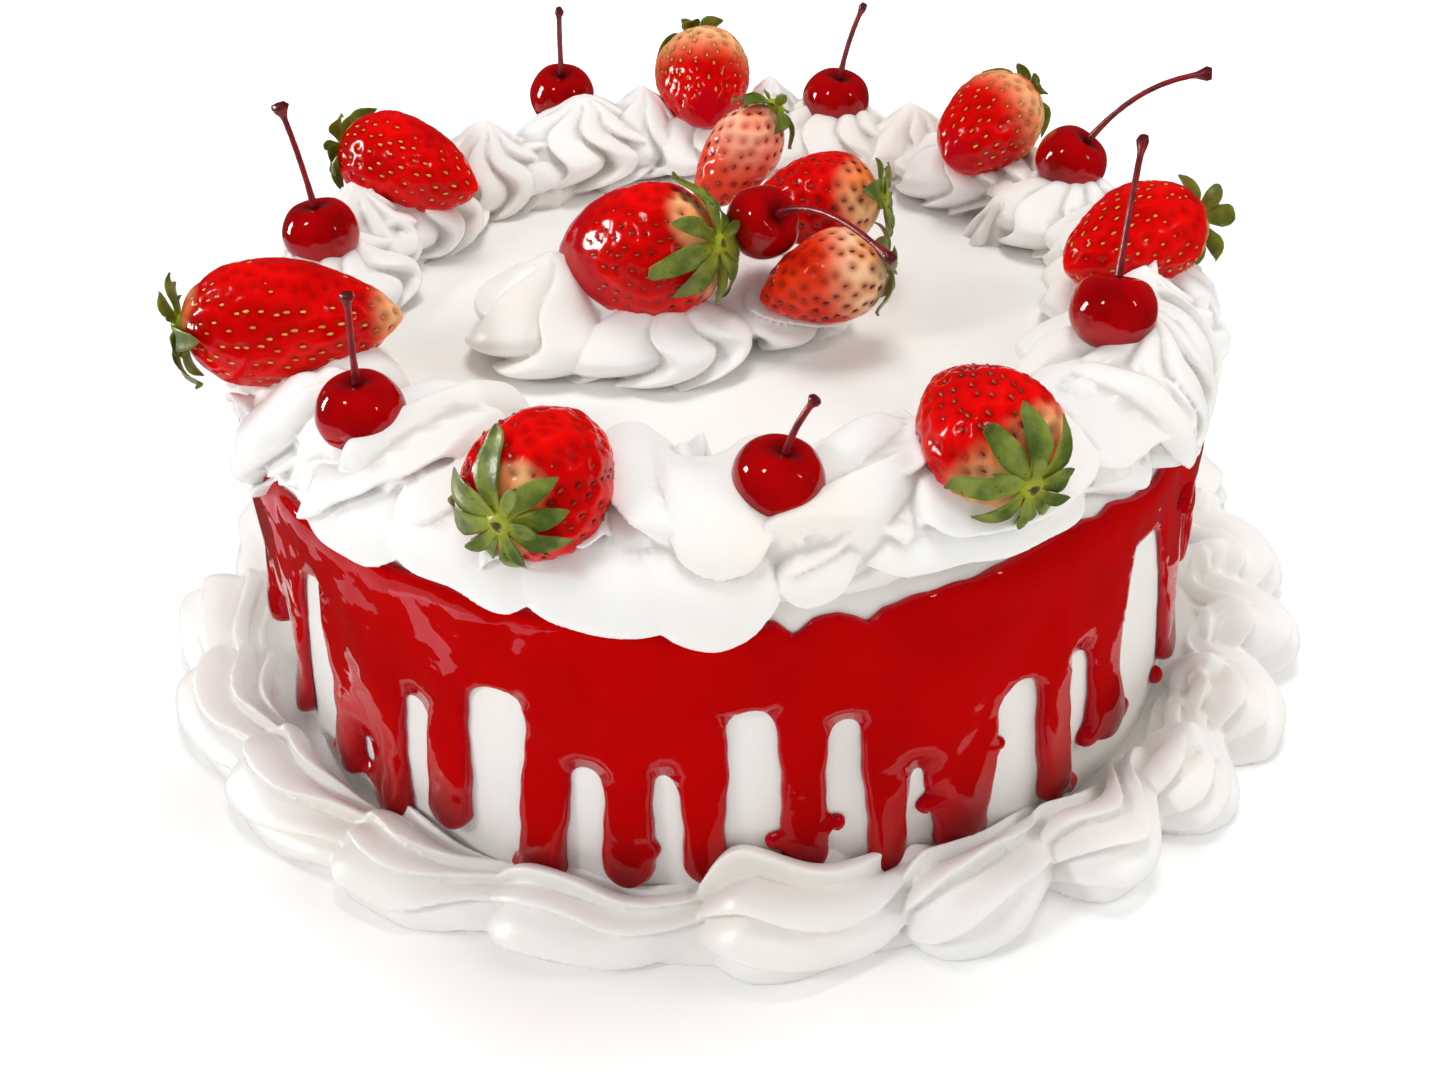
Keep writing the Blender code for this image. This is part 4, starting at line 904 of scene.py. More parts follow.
def zigzag(rope, draw):
    # a closed line that swings in and out round the ring, with uneven swings
    turns = np.linspace(0, math.tau, rope["points"], endpoint=False)
    phase = rope["swings"] * turns + rope["unevenness"] * np.sin(3 * turns + 1) + rope["unevenness"] * np.sin(7 * turns)
    radius = rope["ring"] + rope["swing"] * np.sin(phase) + 1.5 * np.sin(4 * turns + 2)
    bend = turns + rope["loop"] / rope["ring"] * np.sin(2 * phase + 0.6)
    lift = rope["lift"] + 1.6 * np.cos(phase) + 1.2 * np.sin(5 * turns)
    line = np.stack((radius * np.cos(bend), radius * np.sin(bend), lift), -1)
    radii = rope["radius"] * (1 + 0.1 * np.sin(9 * turns + 1) + 0.06 * np.sin(phase))
    return pipedStroke(line, radii, rope["ridges"], 360 * rope["twists"], draw, closed=True, flat=rope["flat"])


def taper(count, start, end, radius):
    # radii that open at the start and close at the end
    share = np.linspace(0, 1, count)
    return radius * (np.clip(share / start, 0.02, 1) ** 0.5) * (np.clip((1 - share) / end, 0.02, 1) ** 0.7)


def leafPeak(x, y, tipX, tipY, tipZ, radius, ridges, draw):
    # where the nozzle was pulled away: a ridged peak with a bent tip
    low = cake["height"] - 2
    rise = (tipZ - low)
    line = smoothLine(((x, y, low), (x * 0.9 + tipX * 0.1, y * 0.9 + tipY * 0.1, low + rise * 0.5), (tipX, tipY, tipZ)), 12)
    share = np.linspace(0, 1, len(line))
    radii = radius * np.clip(1 - share, 0.02, 1) ** 0.75
    angles, crests, sizes = ridgedTurn(ridges, draw, 12, 0.55, 0.15, 0.9)
    swing = angles[None, :] + math.radians(50) * share[:, None]
    reach = radii[:, None] * ((1 - 0.42 * (1 - crests)) * sizes)[None, :]
    points = np.stack((line[:, :1] + reach * np.cos(swing), line[:, 1:2] + reach * np.sin(swing),
                       np.repeat(line[:, 2:], len(angles), axis=1)), -1)
    return points.reshape(-1, 3), ringFaces(len(line), len(angles), capStart=True, capEnd=True)


frills = {
    # section of the border's outer skin, from its crest over the cake's edge: ring radius, height
    "skin": (
        (88, 107), (100, 107.5), (107, 106.5), (113, 104.3), (119.3, 100.5), (124.8, 95.6), (128.5, 89.6), (130.1, 82.5),
        (130.1, 70),
    ),
    "cover": 1.8, "swell": 0.45, "nose": 1.3, "under": 6.5, "steps": 10, "columns": 20,
    # points of each lip as angle and way down the skin; then the sheet's width, lift and skew
    "rows": (
        (((-143, 34), (-139.5, 40), (-135, 46), (-130.5, 47), (-125.5, 46), (-120.5, 37)), 26, 3.0, 3),
        (((-129, 33), (-123, 43.5), (-117, 45), (-110.5, 47), (-105, 37)), 26, 3.2, 3),
        (((-114.5, 34), (-109, 45), (-104, 48), (-99, 48.5), (-95, 46), (-91, 37)), 28, 3.2, 3),
        (((-102.5, 33), (-98.5, 43), (-95, 49), (-91.5, 51), (-88.5, 48.5), (-86.3, 44.5), (-83.8, 37)), 30, 3.2, 2),
        (((-87, 35), (-84, 43), (-81, 43), (-78.5, 39.5), (-76.5, 32)), 24, 2.6, -2),
        (((-79, 31), (-75, 39.5), (-71, 41), (-67, 41), (-62.5, 42.5), (-57.5, 42), (-53, 41), (-48, 34)), 26, 2.6, -3),
        (((-139, 47), (-134.2, 42.5), (-130.7, 37), (-127.3, 31), (-123.9, 25), (-120, 14)), 34, 7.4, 4),
        (((-127, 26), (-123.4, 34.5), (-120.8, 34), (-116.5, 25)), 22, 5.4, 2),
        (((-116, 43), (-112, 38), (-109.5, 34), (-106.5, 32.5), (-103.5, 33), (-99.5, 25)), 24, 7.4, 4),
        (((-105, 12), (-98.5, 23.5), (-96.3, 28), (-94.5, 34.5), (-91.5, 38), (-88.3, 37), (-86, 32), (-83.5, 24.5),
          (-77, 12)), 36, 7.4, 3),
        (((-87.5, 39.5), (-83, 37), (-80, 34.5), (-77.7, 32), (-75.3, 31), (-72.5, 34.5), (-70.5, 29)), 24, 5.4, -3),
        (((-87.5, 35), (-82.8, 31.5), (-80.5, 29.5), (-78, 27), (-75.5, 24.5), (-72.5, 23.5), (-69.3, 23), (-66, 18),
          (-63, 8)), 32, 8.8, -5),
        (((-74.5, 23), (-69, 35), (-65, 37.5), (-60, 38.5), (-54.5, 37.5), (-50, 34.5), (-44.5, 24)), 32, 7.0, -3),
        (((-54, 26), (-47.5, 36.5), (-44, 37.5), (-40.5, 37.5), (-36.5, 40), (-32.5, 39.5), (-27.5, 30)), 32, 6.2, -3),
    ),
}


def frill(lip, width, lift, skew):
    # a thin flared sheet that lies on the border's skin, with a sharp overhanging lip
    radii, heights = zip(*frills["skin"])
    ways = np.concatenate(((0,), np.cumsum(np.hypot(np.diff(radii), np.diff(heights)))))
    line = smoothLine([(angle, way, 0) for angle, way in lip], frills["steps"])
    share = np.linspace(0, 1, len(line))
    ends = smoothStep(0, 0.14, share) * smoothStep(1, 0.86, share)
    level = np.interp(line[:, 0], (line[0, 0], line[-1, 0]), (line[0, 1], line[-1, 1]))
    upper = np.linspace(0, 1, frills["columns"])
    rings = []
    for (angle, way, _), end, mean in zip(line, ends, level):
        lobe = max(0, way - mean) * frills["swell"]
        flare = (lift - frills["cover"]) * end ** 2
        rise = frills["cover"] * smoothStep(0, 0.2, upper) + flare * upper ** 2.2
        rise = (rise + 2 + lobe * np.sin(math.pi * upper ** 1.3) * 0.5) * end - 2
        tip = (frills["cover"] + flare + 2) * end - 2
        back = np.concatenate((upper - 1, (0.4 / width, -0.4 / width, -4 / width, -frills["under"] / width, -0.6, -1)))
        lifts = np.concatenate((rise, (tip - 0.6, tip - frills["nose"], tip - frills["nose"] * 1.7, -0.5, -5, -6)))
        along = np.clip(way + back * width, 0, None)
        radius = np.interp(along, ways, radii)
        height = np.interp(along, ways, heights)
        slopeR = np.interp(along + 1.5, ways, radii) - np.interp(along - 1.5, ways, radii)
        slopeZ = np.interp(along + 1.5, ways, heights) - np.interp(along - 1.5, ways, heights)
        size = np.hypot(slopeR, slopeZ)
        radius = radius - slopeZ / size * lifts
        height = height + slopeR / size * lifts
        turn = np.radians(angle + skew * back)
        rings.append(np.stack((radius * np.cos(turn), radius * np.sin(turn), height), -1))
    return np.concatenate(rings), ringFaces(len(rings), len(rings[0]), capStart=True, capEnd=True)


def tuckIn(mesh):
    # cream that barely shows through the glaze goes behind it
    places = np.empty(len(mesh.vertices) * 3)
    mesh.vertices.foreach_get("co", places)
    places = places.reshape(-1, 3)
    radius = np.hypot(places[:, 0], places[:, 1]) / mm
    turn = np.degrees(np.arctan2(places[:, 1], places[:, 0]))
    limit = 128.1 + 1.1 * smoothStep(58, 64, np.abs(turn + 85))
    shy = (1 - smoothStep(0, 0.8, radius - limit)) * (1 - smoothStep(89.5, 91.5, places[:, 2] / mm))
    places[:, :2] *= (1 - 4 * shy / radius)[:, None]
    mesh.vertices.foreach_set("co", places.ravel())
    mesh.update()


def drawIn(points):
    # the swirls behind the frills stay back from the cake's edge
    radius = np.hypot(points[:, 0], points[:, 1])
    turn = np.degrees(np.arctan2(points[:, 1], points[:, 0]))
    front = smoothStep(50, 42, np.abs(turn + 95))
    over = np.maximum(radius - 121, 0) * 0.8 * front
    points[:, :2] *= (1 - over / radius)[:, None]
    return points


def plainRing(inner, outer, low, high, sides=96):
    # the plain bed under the piping
    around = np.arange(sides) * math.tau / sides
    outline = ((inner, low), (inner + 2, high - 2), ((inner + outer) / 2, high), (outer - 2, high - 2), (outer, low))
    points = np.concatenate([np.stack((radius * np.cos(around), radius * np.sin(around), np.full(sides, lift)), -1)
                             for radius, lift in outline])
    faces = ringFaces(len(outline), sides)
    last = (len(outline) - 1) * sides
    for index in range(sides):
        after = (index + 1) % sides
        faces.append((last + index, last + after, after, index))
    return points, [face[::-1] for face in faces]


def buildTopBorder():
    draw = random.Random(piping["seed"])
    shapes = [plainRing(95, 120, cake["height"] - 4, cake["height"] + 7)]
    points, faces = zigzag(piping["rope"], random.Random(8))
    shapes.append((droop(points), faces))
    strokeDraw = random.Random(21)
    for corners, radius, ridges, twist in piping["strokes"]:
        line = smoothLine(corners, 14)
        points, faces = pipedStroke(line, taper(len(line), 0.2, 0.3, radius), ridges, twist, strokeDraw, flat=0.85,
                                    steps=20, fall=1.2)
        shapes.append((droop(points), faces))
    for peak in piping["peaks"]:
        shapes.append(leafPeak(*peak, strokeDraw))
    for angle, ring, radius, height, ridges, twist, sway, point in piping["dollops"]:
        turn = math.radians(angle)
        points, faces = swirl(ring * math.cos(turn), ring * math.sin(turn), radius, height, ridges, twist, sway,
                              point, draw)
        shapes.append((droop(points), faces))
    points, faces = joinShapes(shapes)
    shapes = [(drawIn(waver(waver(points, 12, 1.0, 1), 30, 2.6, 5)), faces)]
    for row in frills["rows"]:
        shapes.append(frill(*row))
    mesh = fused("topCream", *joinShapes(shapes), 0.5, 198000, 1)
    tuckIn(mesh)
    # mask of painted shade in the creases
    paint(mesh, "paintedShade", creases(mesh))
    addPiece("topCream", mesh, "top_border", "cream", creamLook)


def buildMound():
    draw = random.Random(piping["seed"])
    shapes = []
    for x, y, radius, height, ridges, twist, sway, point in piping["mound"]:
        shapes.append(swirl(x, y, radius, height, ridges, twist, sway, point, draw))
    points, faces = joinShapes(shapes)
    points = waver(points, 20, 1.5, 2)
    mesh = fused("moundCream", points, faces, 0.5, 90000, 2)
    # mask of painted shade in the creases
    paint(mesh, "paintedShade", creases(mesh))
    addPiece("moundCream", mesh, "centre_mound", "cream", creamLook)


base = {
    "seed": 11, "rows": 48, "depth": 0.46, "lean": -0.28, "ridges": 8, "peakAt": 0.14, "roundness": 0.6, "fall": 1.3,
    "lobes": 4.5,
    # start angle, length in degrees, head radius, tail radius, ring radius, sway, twist, height share
    "shells": (
        (-182, 27, 15, 7, 142.5, 3, 35, 0.8), (-167, 27, 15, 7, 142.5, 3, 30, 0.8), (-151, 28, 14.5, 6.5, 139, 3, 30, 0.8),
        (-132.5, 27, 14.5, 6.5, 134.5, 3, 30, 0.8), (-115, 30, 14.5, 6, 131.5, 3, 25, 0.8),
        (-92.5, 27, 16, 6.5, 131, 3.5, 35, 1.15), (-73, 22, 15.5, 7, 134, 3.5, 45, 1.0),
        (-57, 20, 15, 7, 138.5, 4, 55, 1.0), (-44, 19, 15, 7, 141, 4, 60, 0.9), (-31, 18, 14.5, 7, 142.5, 4, 70, 0.9),
        (-18, 18, 14.5, 7, 143.5, 4, 60, 0.9), (-5, 20, 14.5, 7, 144, 4, 60, 0.9), (11, 24, 14.5, 6.5, 143, 4, 50, 0.85),
        (30, 27, 14.5, 6.5, 141, 3, 40, 0.8), (51, 27, 15, 7, 140.5, 3, 35, 0.8), (72, 27, 14.5, 7, 140.5, 3, 30, 0.8),
        (93, 27, 15, 7, 141, 3, 35, 0.8), (114, 27, 14.5, 7, 141, 3, 30, 0.8), (134.6, 27, 15, 7, 141.5, 3, 35, 0.8),
        (156, 27, 14.5, 7, 142, 3, 30, 0.8),
    ),
    # ruffled swirls at the right: ring angle, ring radius, radius, height, ridges, twist, sway, point
    "swirls": (
        (-37, 143, 12.5, 20, 6, 80, 35, 0.3), (-24, 139, 11.5, 18, 6, 90, 40, 0.4), (-13, 144.5, 11.5, 17, 6, 80, 35, 0.4),
        (-2, 141, 12, 18, 6, 85, 40, 0.3), (9, 144.5, 11.5, 17, 6, 90, 35, 0.4), (20, 141, 11.5, 17, 6, 80, 35, 0.4),
    ),
}


def shell(start, length, radius, tail, ring, sway, twist, flat, draw):
    # a piped shell along the ring: broad lobed head, long thin tail, lipped bands that turn with it
    lean = draw.uniform(-0.3, 0.3)
    angles, crests, sizes = ridgedTurn(base["ridges"], draw, 20, base["peakAt"], base["lean"], base["roundness"],
                                       base["fall"])
    count = len(angles)
    wave = draw.uniform(0, math.tau)
    rings = []
    for row in range(base["rows"] + 1):
        along = row / base["rows"]
        if along < 0.16:
            body = math.sin(math.pi / 2 * (0.06 + 0.94 * along / 0.16)) ** 0.55
        else:
            body = 1 - (1 - tail / radius) * ((along - 0.16) / 0.84) ** 1.15
        if along > 0.94:
            body *= max(0.15, (1 - along) / 0.06)
        size = radius * body
        bend = math.radians(start + length * along)
        middle = ring + sway * math.sin(math.tau * along * 0.9 - 0.2) - (1 - body) * 2
        centre = np.array((middle * math.cos(bend), middle * math.sin(bend), size * 0.42 * flat))
        outward = np.array((math.cos(bend), math.sin(bend), 0))
        onward = np.array((-math.sin(bend), math.cos(bend), 0))
        depth = base["depth"] * (1 + 0.2 * math.sin(along * 9 + wave))
        reach = size * (1 - depth * (1 - crests)) * sizes
        swing = angles + lean + math.radians(twist) * along + 0.25 * math.sin(math.tau * along * 1.2 + wave)
        slip = -base["lobes"] * crests * (1 - min(1, along / 0.3))  # the bands' ends stand out as lobes
        rings.append(centre + outward * (reach * np.cos(swing))[:, None] + onward * slip[:, None]
                     + np.array((0, 0, flat)) * (reach * np.sin(swing))[:, None])
    return np.concatenate(rings), ringFaces(len(rings), count, capStart=True, capEnd=True)


def buildBaseBorder():
    draw = random.Random(base["seed"])
    shapes = [plainRing(cake["radius"] - 3, 141, -2, 5)]
    for row in base["shells"]:
        shapes.append(shell(*row, draw))
    for angle, ring, radius, height, ridges, twist, sway, point in base["swirls"]:
        turn = math.radians(angle)
        shapes.append(swirl(ring * math.cos(turn), ring * math.sin(turn), radius, height, ridges, twist, sway, point,
                            draw, foot=0))
    points, faces = joinShapes(shapes)
    points = waver(waver(points, 17, 1.3, 3), 40, 1.4, 6)
    points[:, 2] = np.maximum(points[:, 2], 0)
    mesh = fused("baseCream", points, faces, 0.6, 196000, 2)
    low = np.empty(len(mesh.vertices) * 3)
    mesh.vertices.foreach_get("co", low)
    low = low.reshape(-1, 3)
    low[:, 2] = np.maximum(low[:, 2], 0)
    mesh.vertices.foreach_set("co", low.ravel())
    mesh.update()
    # painted crease shade, kept weaker on the base border, which is painted brighter
    paint(mesh, "paintedShade", creases(mesh) * 0.35)
    addPiece("baseCream", mesh, "base_border", "cream", footLookPaintedBright)


# strawberries

# centre, direction of the tip, length, width, sepals, first sepal's angle, then the finish
strawberries = (
    ((-102, -39, 116), (54, 2, 0), 52, 31, 7, 20, {"flare": 9, "seeds": "gold", "paleTip": 0.85}),
    ((-86.5, 54.5, 113.5), (42, -27, -4), 47, 27, 6, 50, {"seeds": "gold", "flare": 8}),
    ((-3, 106, 116), (3, -36, -12), 38, 28.5, 6, 0, {"seeds": "gold", "pale": 0.56, "coat": 0.84}),
    ((78, 67, 115), (-27, -29, -7), 39, 27, 6, 30, {"seeds": "gold", "pale": 0.5, "coat": 0.88}),
    ((104.5, -7, 114), (-39, -27, 0), 46, 28, 7, 10, {"flare": 8, "seeds": "gold", "pale": 0.16}),
    ((55.2, -94.5, 114.5), (-13.6, 37.6, 3), 39, 31, 8, 10, {"seeds": "dark", "pale": 0.2}),
    ((-37.3, -105.5, 113.7), (15, 36.8, -3), 39, 31.5, 8, 30, {"flare": 2.2, "seeds": "dark", "pale": 0.08}),
    ((-21.5, -9.5, 116), (-39, 20.5, -14), 48, 34.5, 8, 15, {"seeds": "dark", "pale": 0.1, "coat": 0.55}),
    ((5, 36, 121), (-20, -10, -22), 33, 20, 5, 0, {"seeds": "dark", "skin": "pink", "pale": 0.6}),
    ((25.8, 22, 114.5), (-30, 6, -4), 35, 26, 6, 30, {"flare": 6, "seeds": "dark", "pale": 0.24}),
    ((25.5, -16, 110.5), (-30, -2, -8), 33, 23, 6, 10, {"flare": 5, "seeds": "dark", "skin": "peach", "pale": 0.45, "leaf": "dry"}),
)
berry = {"widest": 0.36, "columns": 84, "rows": 60, "pitDepth": 0.75, "pitSize": 1.45, "spacing": 4.3, "unevenness": 0.55}


def berryReach(along):
    wide = berry["widest"]
    shoulder = np.sqrt(np.maximum(0, 1 - (1 - along / wide) ** 2))
    cone = np.maximum(0, 1 - (np.maximum(along - wide, 0) / (1 - wide)) ** 1.9) ** 0.72
    return np.where(along < wide, shoulder, cone)


def berryDepth(radius, width, length):
    low, high = 0.0, berry["widest"]
    for _ in range(20):
        middle = (low + high) / 2
        if float(berryReach(np.array(middle))) * width / 2 < radius:
            low = middle
        else:
            high = middle
    return low * length


def aim(centre, direction):
    turn = Vector(direction).to_track_quat("Z", "Y").to_matrix().to_4x4()
    return Matrix.Translation(Vector(centre) * mm) @ turn


def berryShape(length, width, seed):
    # skin points, their masks and the places of the seeds, in the berry's own space
    draw = random.Random(seed)
    rows, columns = berry["rows"], berry["columns"]
    along = 0.5 - 0.5 * np.cos(np.linspace(0.02, math.pi - 0.02, rows))
    turn = np.arange(columns) * math.tau / columns
    alongs, turns = np.meshgrid(along, turn, indexing="ij")
    alongs, turns = alongs.ravel(), turns.ravel()
    reach = berryReach(alongs) * width / 2
    lobes = 1 + 0.025 * np.cos(3 * turns + seed) + 0.02 * np.cos(2 * turns + seed * 2)
    points = np.stack((reach * np.cos(turns) * lobes, reach * np.sin(turns) * lobes, (alongs - 0.5) * length), -1)
    points = waver(points, 11, berry["unevenness"], seed)
    # seeds on a spiral, evenly spread over the skin
    fine = np.linspace(0.05, 0.985, 400)
    wide = berryReach(fine) * width / 2
    slant = np.hypot(np.gradient(wide, fine), length)
    area = np.cumsum(wide * slant)
    count = int(math.tau * area[-1] * (fine[1] - fine[0]) / berry["spacing"] ** 2 * 1.15)
    places = np.interp((np.arange(count) + 0.5) / count, area / area[-1], fine)
    seedTurns = np.arange(count) * math.radians(137.508) + np.array([draw.uniform(-0.12, 0.12) for _ in range(count)])
    seedReach = berryReach(places) * width / 2
    seeds = np.stack((seedReach * np.cos(seedTurns), seedReach * np.sin(seedTurns), (places - 0.5) * length), -1)
    gaps = points[:, None, :] - seeds[None, :, :]
    near = np.sqrt((gaps ** 2).sum(axis=2))
    nearest = near.min(axis=1)
    return points, alongs, turns, seeds, nearest, draw


def seedShape(place, outward, length, draw):
    # a small drop-shaped seed lying on the skin, its point towards the calyx
    sides, rings = 6, 4
    lengthwise = Vector((0, 0, 1))
    outward = Vector(outward).normalized()
    across = outward.cross(lengthwise)
    across = across.normalized() if across.length > 0.01 else Vector((1, 0, 0))
    lengthwise = across.cross(outward).normalized()
    size = draw.uniform(0.85, 1.15)
    points = []
    for ring in range(1, rings):
        bend = math.pi * ring / rings
        for side in range(sides):
            turn = math.tau * side / sides
            wide = math.sin(bend) * (0.8 + 0.25 * math.cos(bend))
            local = (across * (0.42 * size * wide * math.cos(turn)) + outward * (0.30 * size * wide * math.sin(turn))
                     + lengthwise * (0.78 * size * math.cos(bend)))
            points.append(tuple(Vector(place) + local))
    faces = ringFaces(rings - 1, sides)
    for pole, ring, flip in ((0.78, 0, False), (-0.78, rings - 2, True)):
        points.append(tuple(Vector(place) + lengthwise * pole * size))
        for side in range(sides):
            face = (len(points) - 1, ring * sides + (side + 1) % sides, ring * sides + side)
            faces.append(face[::-1] if not flip else face)
    return points, [face[::-1] for face in faces]


def buildBerry(number, centre, direction, length, width, finish):
    name = f"strawberry{number}"
    points, alongs, turns, seeds, nearest, draw = berryShape(length, width, number)
    coatFrom = finish.get("coat", 2)
    coat = smoothStep(coatFrom - 0.05, coatFrom + 0.05, alongs + 0.04 * np.sin(turns * 3 + number))
    pit = np.exp(-(nearest / berry["pitSize"]) ** 2) * smoothStep(0.03, 0.08, alongs)
    outward = points.copy()
    outward[:, 2] *= 0.35
    outward /= np.maximum(np.linalg.norm(outward, axis=1), 1e-6)[:, None]
    swell = 0.28 * (1 - np.exp(-(nearest / 2.6) ** 2)) * (1 - coat)
    points = points + outward * (swell - berry["pitDepth"] * pit * (1 - 0.8 * coat))[:, None]
    columns, rows = berry["columns"], berry["rows"]
    faces = ringFaces(rows, columns, capStart=True, capEnd=True)
    seedPlaces = []
    for seed in seeds:
        along = seed[2] / length + 0.5
        if along > coatFrom:
            continue
        away = np.array((seed[0], seed[1], seed[2] * 0.35))
        away /= np.linalg.norm(away)
        seedPlaces.append((seed - away * (berry["pitDepth"] * 0.72), away))
    shapes = [(points, faces)]
    for place, away in seedPlaces:
        shapes.append(seedShape(place, away, length, draw))
    allPoints, allFaces = joinShapes(shapes)
    mesh = makeMesh(name, allPoints, allFaces)
    seedCount = len(allPoints) - len(points)
    fill = np.zeros(seedCount)
    paleFrom = finish.get("pale", 0.06)
    pale = 1 - smoothStep(paleFrom * 0.35, paleFrom * 1.15, alongs + 0.05 * np.sin(turns * 2 + number))
    if "paleTip" in finish:
        pale = np.maximum(pale * 0.6, smoothStep(finish["paleTip"], finish["paleTip"] + 0.12, alongs))
    paint(mesh, "pale", np.concatenate((pale, fill)))
    # mask of painted shade in the pits, the same mask that dents them
    paint(mesh, "pit", np.concatenate((pit * 0.75 * (1 - coat), fill)))
    paint(mesh, "coat", np.concatenate((coat * 0.85, fill)))
    piece = addPiece(name, mesh, f"strawberry_{number}", "berry", berryLooks[finish.get("skin", "red")],
                     seedLooks[finish.get("seeds", "gold")])
    kinds = np.zeros(len(mesh.polygons), dtype=np.int32)
    kinds[len(faces):] = 1
    mesh.polygons.foreach_set("material_index", kinds)
    piece.matrix_world = aim(centre, direction)
    return piece


sepal = {"at": (0, 0.25, 0.55, 0.75, 0.88, 0.96, 1), "share": (0.45, 0.6, 1, 0.92, 0.66, 0.36, 0.1)}


def sepalShape(length, width, turn, reach, wide, lift, curl, twist):
    # one pointed leaf from the stalk end out over the shoulder, cupped, with a lifted tip
    steps, sides = 11, 6
    start = -length / 2
    upper, lower = [], []
    for step in range(steps + 1):
        along = step / steps
        radius = 1.2 + (reach - 1.2) * along
        half = wide / 2 * float(np.interp(along, sepal["at"], sepal["share"]))
        depth = berryDepth(min(radius, width / 2 * 0.96), width, length)
        rise = 1.3 + lift * along ** 2 + curl * math.sin(math.pi * along) * 0.4
        bend = turn + twist * along ** 2
        for side in range(sides + 1):
            across = side / sides * 2 - 1
            offset = half * across
            cup = 0.55 * half * across ** 2 * (0.5 + 0.5 * along) - 0.25 * math.exp(-(across / 0.16) ** 2) + 0.18 * math.sin(along * 9 + across * 2)
            x = radius * math.cos(bend) - offset * math.sin(bend)
            y = radius * math.sin(bend) + offset * math.cos(bend)
            z = start + depth - rise - cup * 0.5
            upper.append((x, y, z))
            thickness = 0.42 * (1 - 0.55 * abs(across))
            lower.append((x, y, z + thickness))
    count = len(upper)
    faces = []
    row = sides + 1
    for step in range(steps):
        for side in range(sides):
            a = step * row + side
            faces.append((a, a + row, a + row + 1, a + 1))
            faces.append((a + count, a + 1 + count, a + row + 1 + count, a + row + count))
    rim = [side for side in range(row)] + [step * row + sides for step in range(1, steps + 1)]
    rim += [steps * row + side for side in range(sides - 1, -1, -1)] + [step * row for step in range(steps - 1, 0, -1)]
    for a, b in zip(rim, rim[1:] + rim[:1]):
        faces.append((a, b, b + count, a + count))
    alongs = np.repeat(np.arange(steps + 1) / steps, row)
    return np.array(upper + lower), faces, np.concatenate((alongs, alongs))


def buildCalyx(number, length, width, sepals, first, finish):
    name = f"calyx{number}"
    draw = random.Random(100 + number)
    shapes, masks = [], []
    step = math.tau / sepals
    for index in range(sepals):
        turn = math.radians(first) + step * (index + draw.uniform(-0.16, 0.16))
        reach = width / 2 * draw.uniform(0.78, 1.12)
        wide = min(6.2, reach * math.tau / sepals * draw.uniform(0.42, 0.56))
        points, faces, alongs = sepalShape(length, width, turn, reach, wide, draw.uniform(0.4, 1.3) * finish.get("flare", 3.5),
                                           draw.uniform(0, 3),
                                           draw.uniform(-0.25, 0.25))
        shapes.append((points, faces))
        masks.append(alongs)
    for index in range(max(3, sepals - 3)):
        turn = math.radians(first) + step * (index * 1.4 + 0.5)
        points, faces, alongs = sepalShape(length, width, turn, width / 2 * draw.uniform(0.5, 0.72), 3.2,
                                           draw.uniform(2.5, 5), 1.5, draw.uniform(-0.3, 0.3))
        shapes.append((points - np.array((0, 0, 0.5)), faces))
        masks.append(alongs)
    # the stalk's scar: a low knob with a pit
    rings, sides = [], 14
    start = -length / 2
    for radius, lift in ((3.3, 0.2), (3.0, -1.3), (2.2, -2.3), (1.4, -2.9), (0.9, -2.7), (0.5, -2.0)):
        around = np.arange(sides) * math.tau / sides
        uneven = 1 + 0.08 * np.sin(around * 3 + number)
        rings.append(np.stack((radius * uneven * np.cos(around), radius * uneven * np.sin(around),
                               np.full(sides, start + lift)), -1))
    knob = np.concatenate(rings)
    shapes.append((knob, ringFaces(len(rings), sides, capStart=True, capEnd=True)))
    masks.append(np.repeat((0.0, 0.0, 0.0, 0.02, 0.3, 0.3), sides))
    points, faces = joinShapes(shapes)
    mesh = makeMesh(name, points, faces)
    along = np.concatenate(masks)
    paint(mesh, "heart", 1 - smoothStep(0.02, 0.42, along))
    scar = np.zeros(len(points))
    scar[-sides * 2:] = 1
    paint(mesh, "tip", np.maximum(smoothStep(0.86, 1.0, along) * 0.6, scar))
    return addPiece(name, mesh, f"calyx_{number}", "leaf", leafLooks[finish.get("leaf", "green")])


def turnOut(mesh):
    # faces look outwards
    import bmesh
    bm = bmesh.new()
    bm.from_mesh(mesh)
    bmesh.ops.recalc_face_normals(bm, faces=bm.faces)
    bm.to_mesh(mesh)
    bm.free()


def buildStrawberries():
    for number, (centre, direction, length, width, sepals, first, finish) in enumerate(strawberries, 1):
        fruit = buildBerry(number, centre, direction, length, width, finish)
        turnOut(fruit.data)
        calyx = buildCalyx(number, length, width, sepals, first, finish)
        turnOut(calyx.data)
        calyx.matrix_world = aim(centre, direction)
    print("strawberries ready")


# cherries

# centre, stem's far end, diameter, knob size, how soon the stem bends
cherries = (
    ((-105.6, 15.7, 113), (-111.5, 19, 147.5), 20, 1.35, 0.5), ((-47, 108, 113), (-45, 98, 143), 20, 0.8, 0.5),
    ((37, 99.4, 112.3), (44.5, 94, 143), 20, 0.8, 0.5), ((99.2, 46.6, 113), (133, 39, 140), 20, 1.1, 0.62),
    ((91.6, -48.6, 117.2), (100, -25, 150), 20.7, 0.9, 0.5), ((10.8, -109, 113), (18.5, -110, 133), 20, 0.85, 0.5),
    ((-80.7, -76.9, 113), (-79.5, -76, 142), 20.5, 1.0, 0.5), ((11.2, -6.5, 122.4), (40.5, -42, 128), 19, 0.9, 0.5),
)
stem = {"radius": 0.85, "knob": 1.75, "steps": 26, "sides": 12}


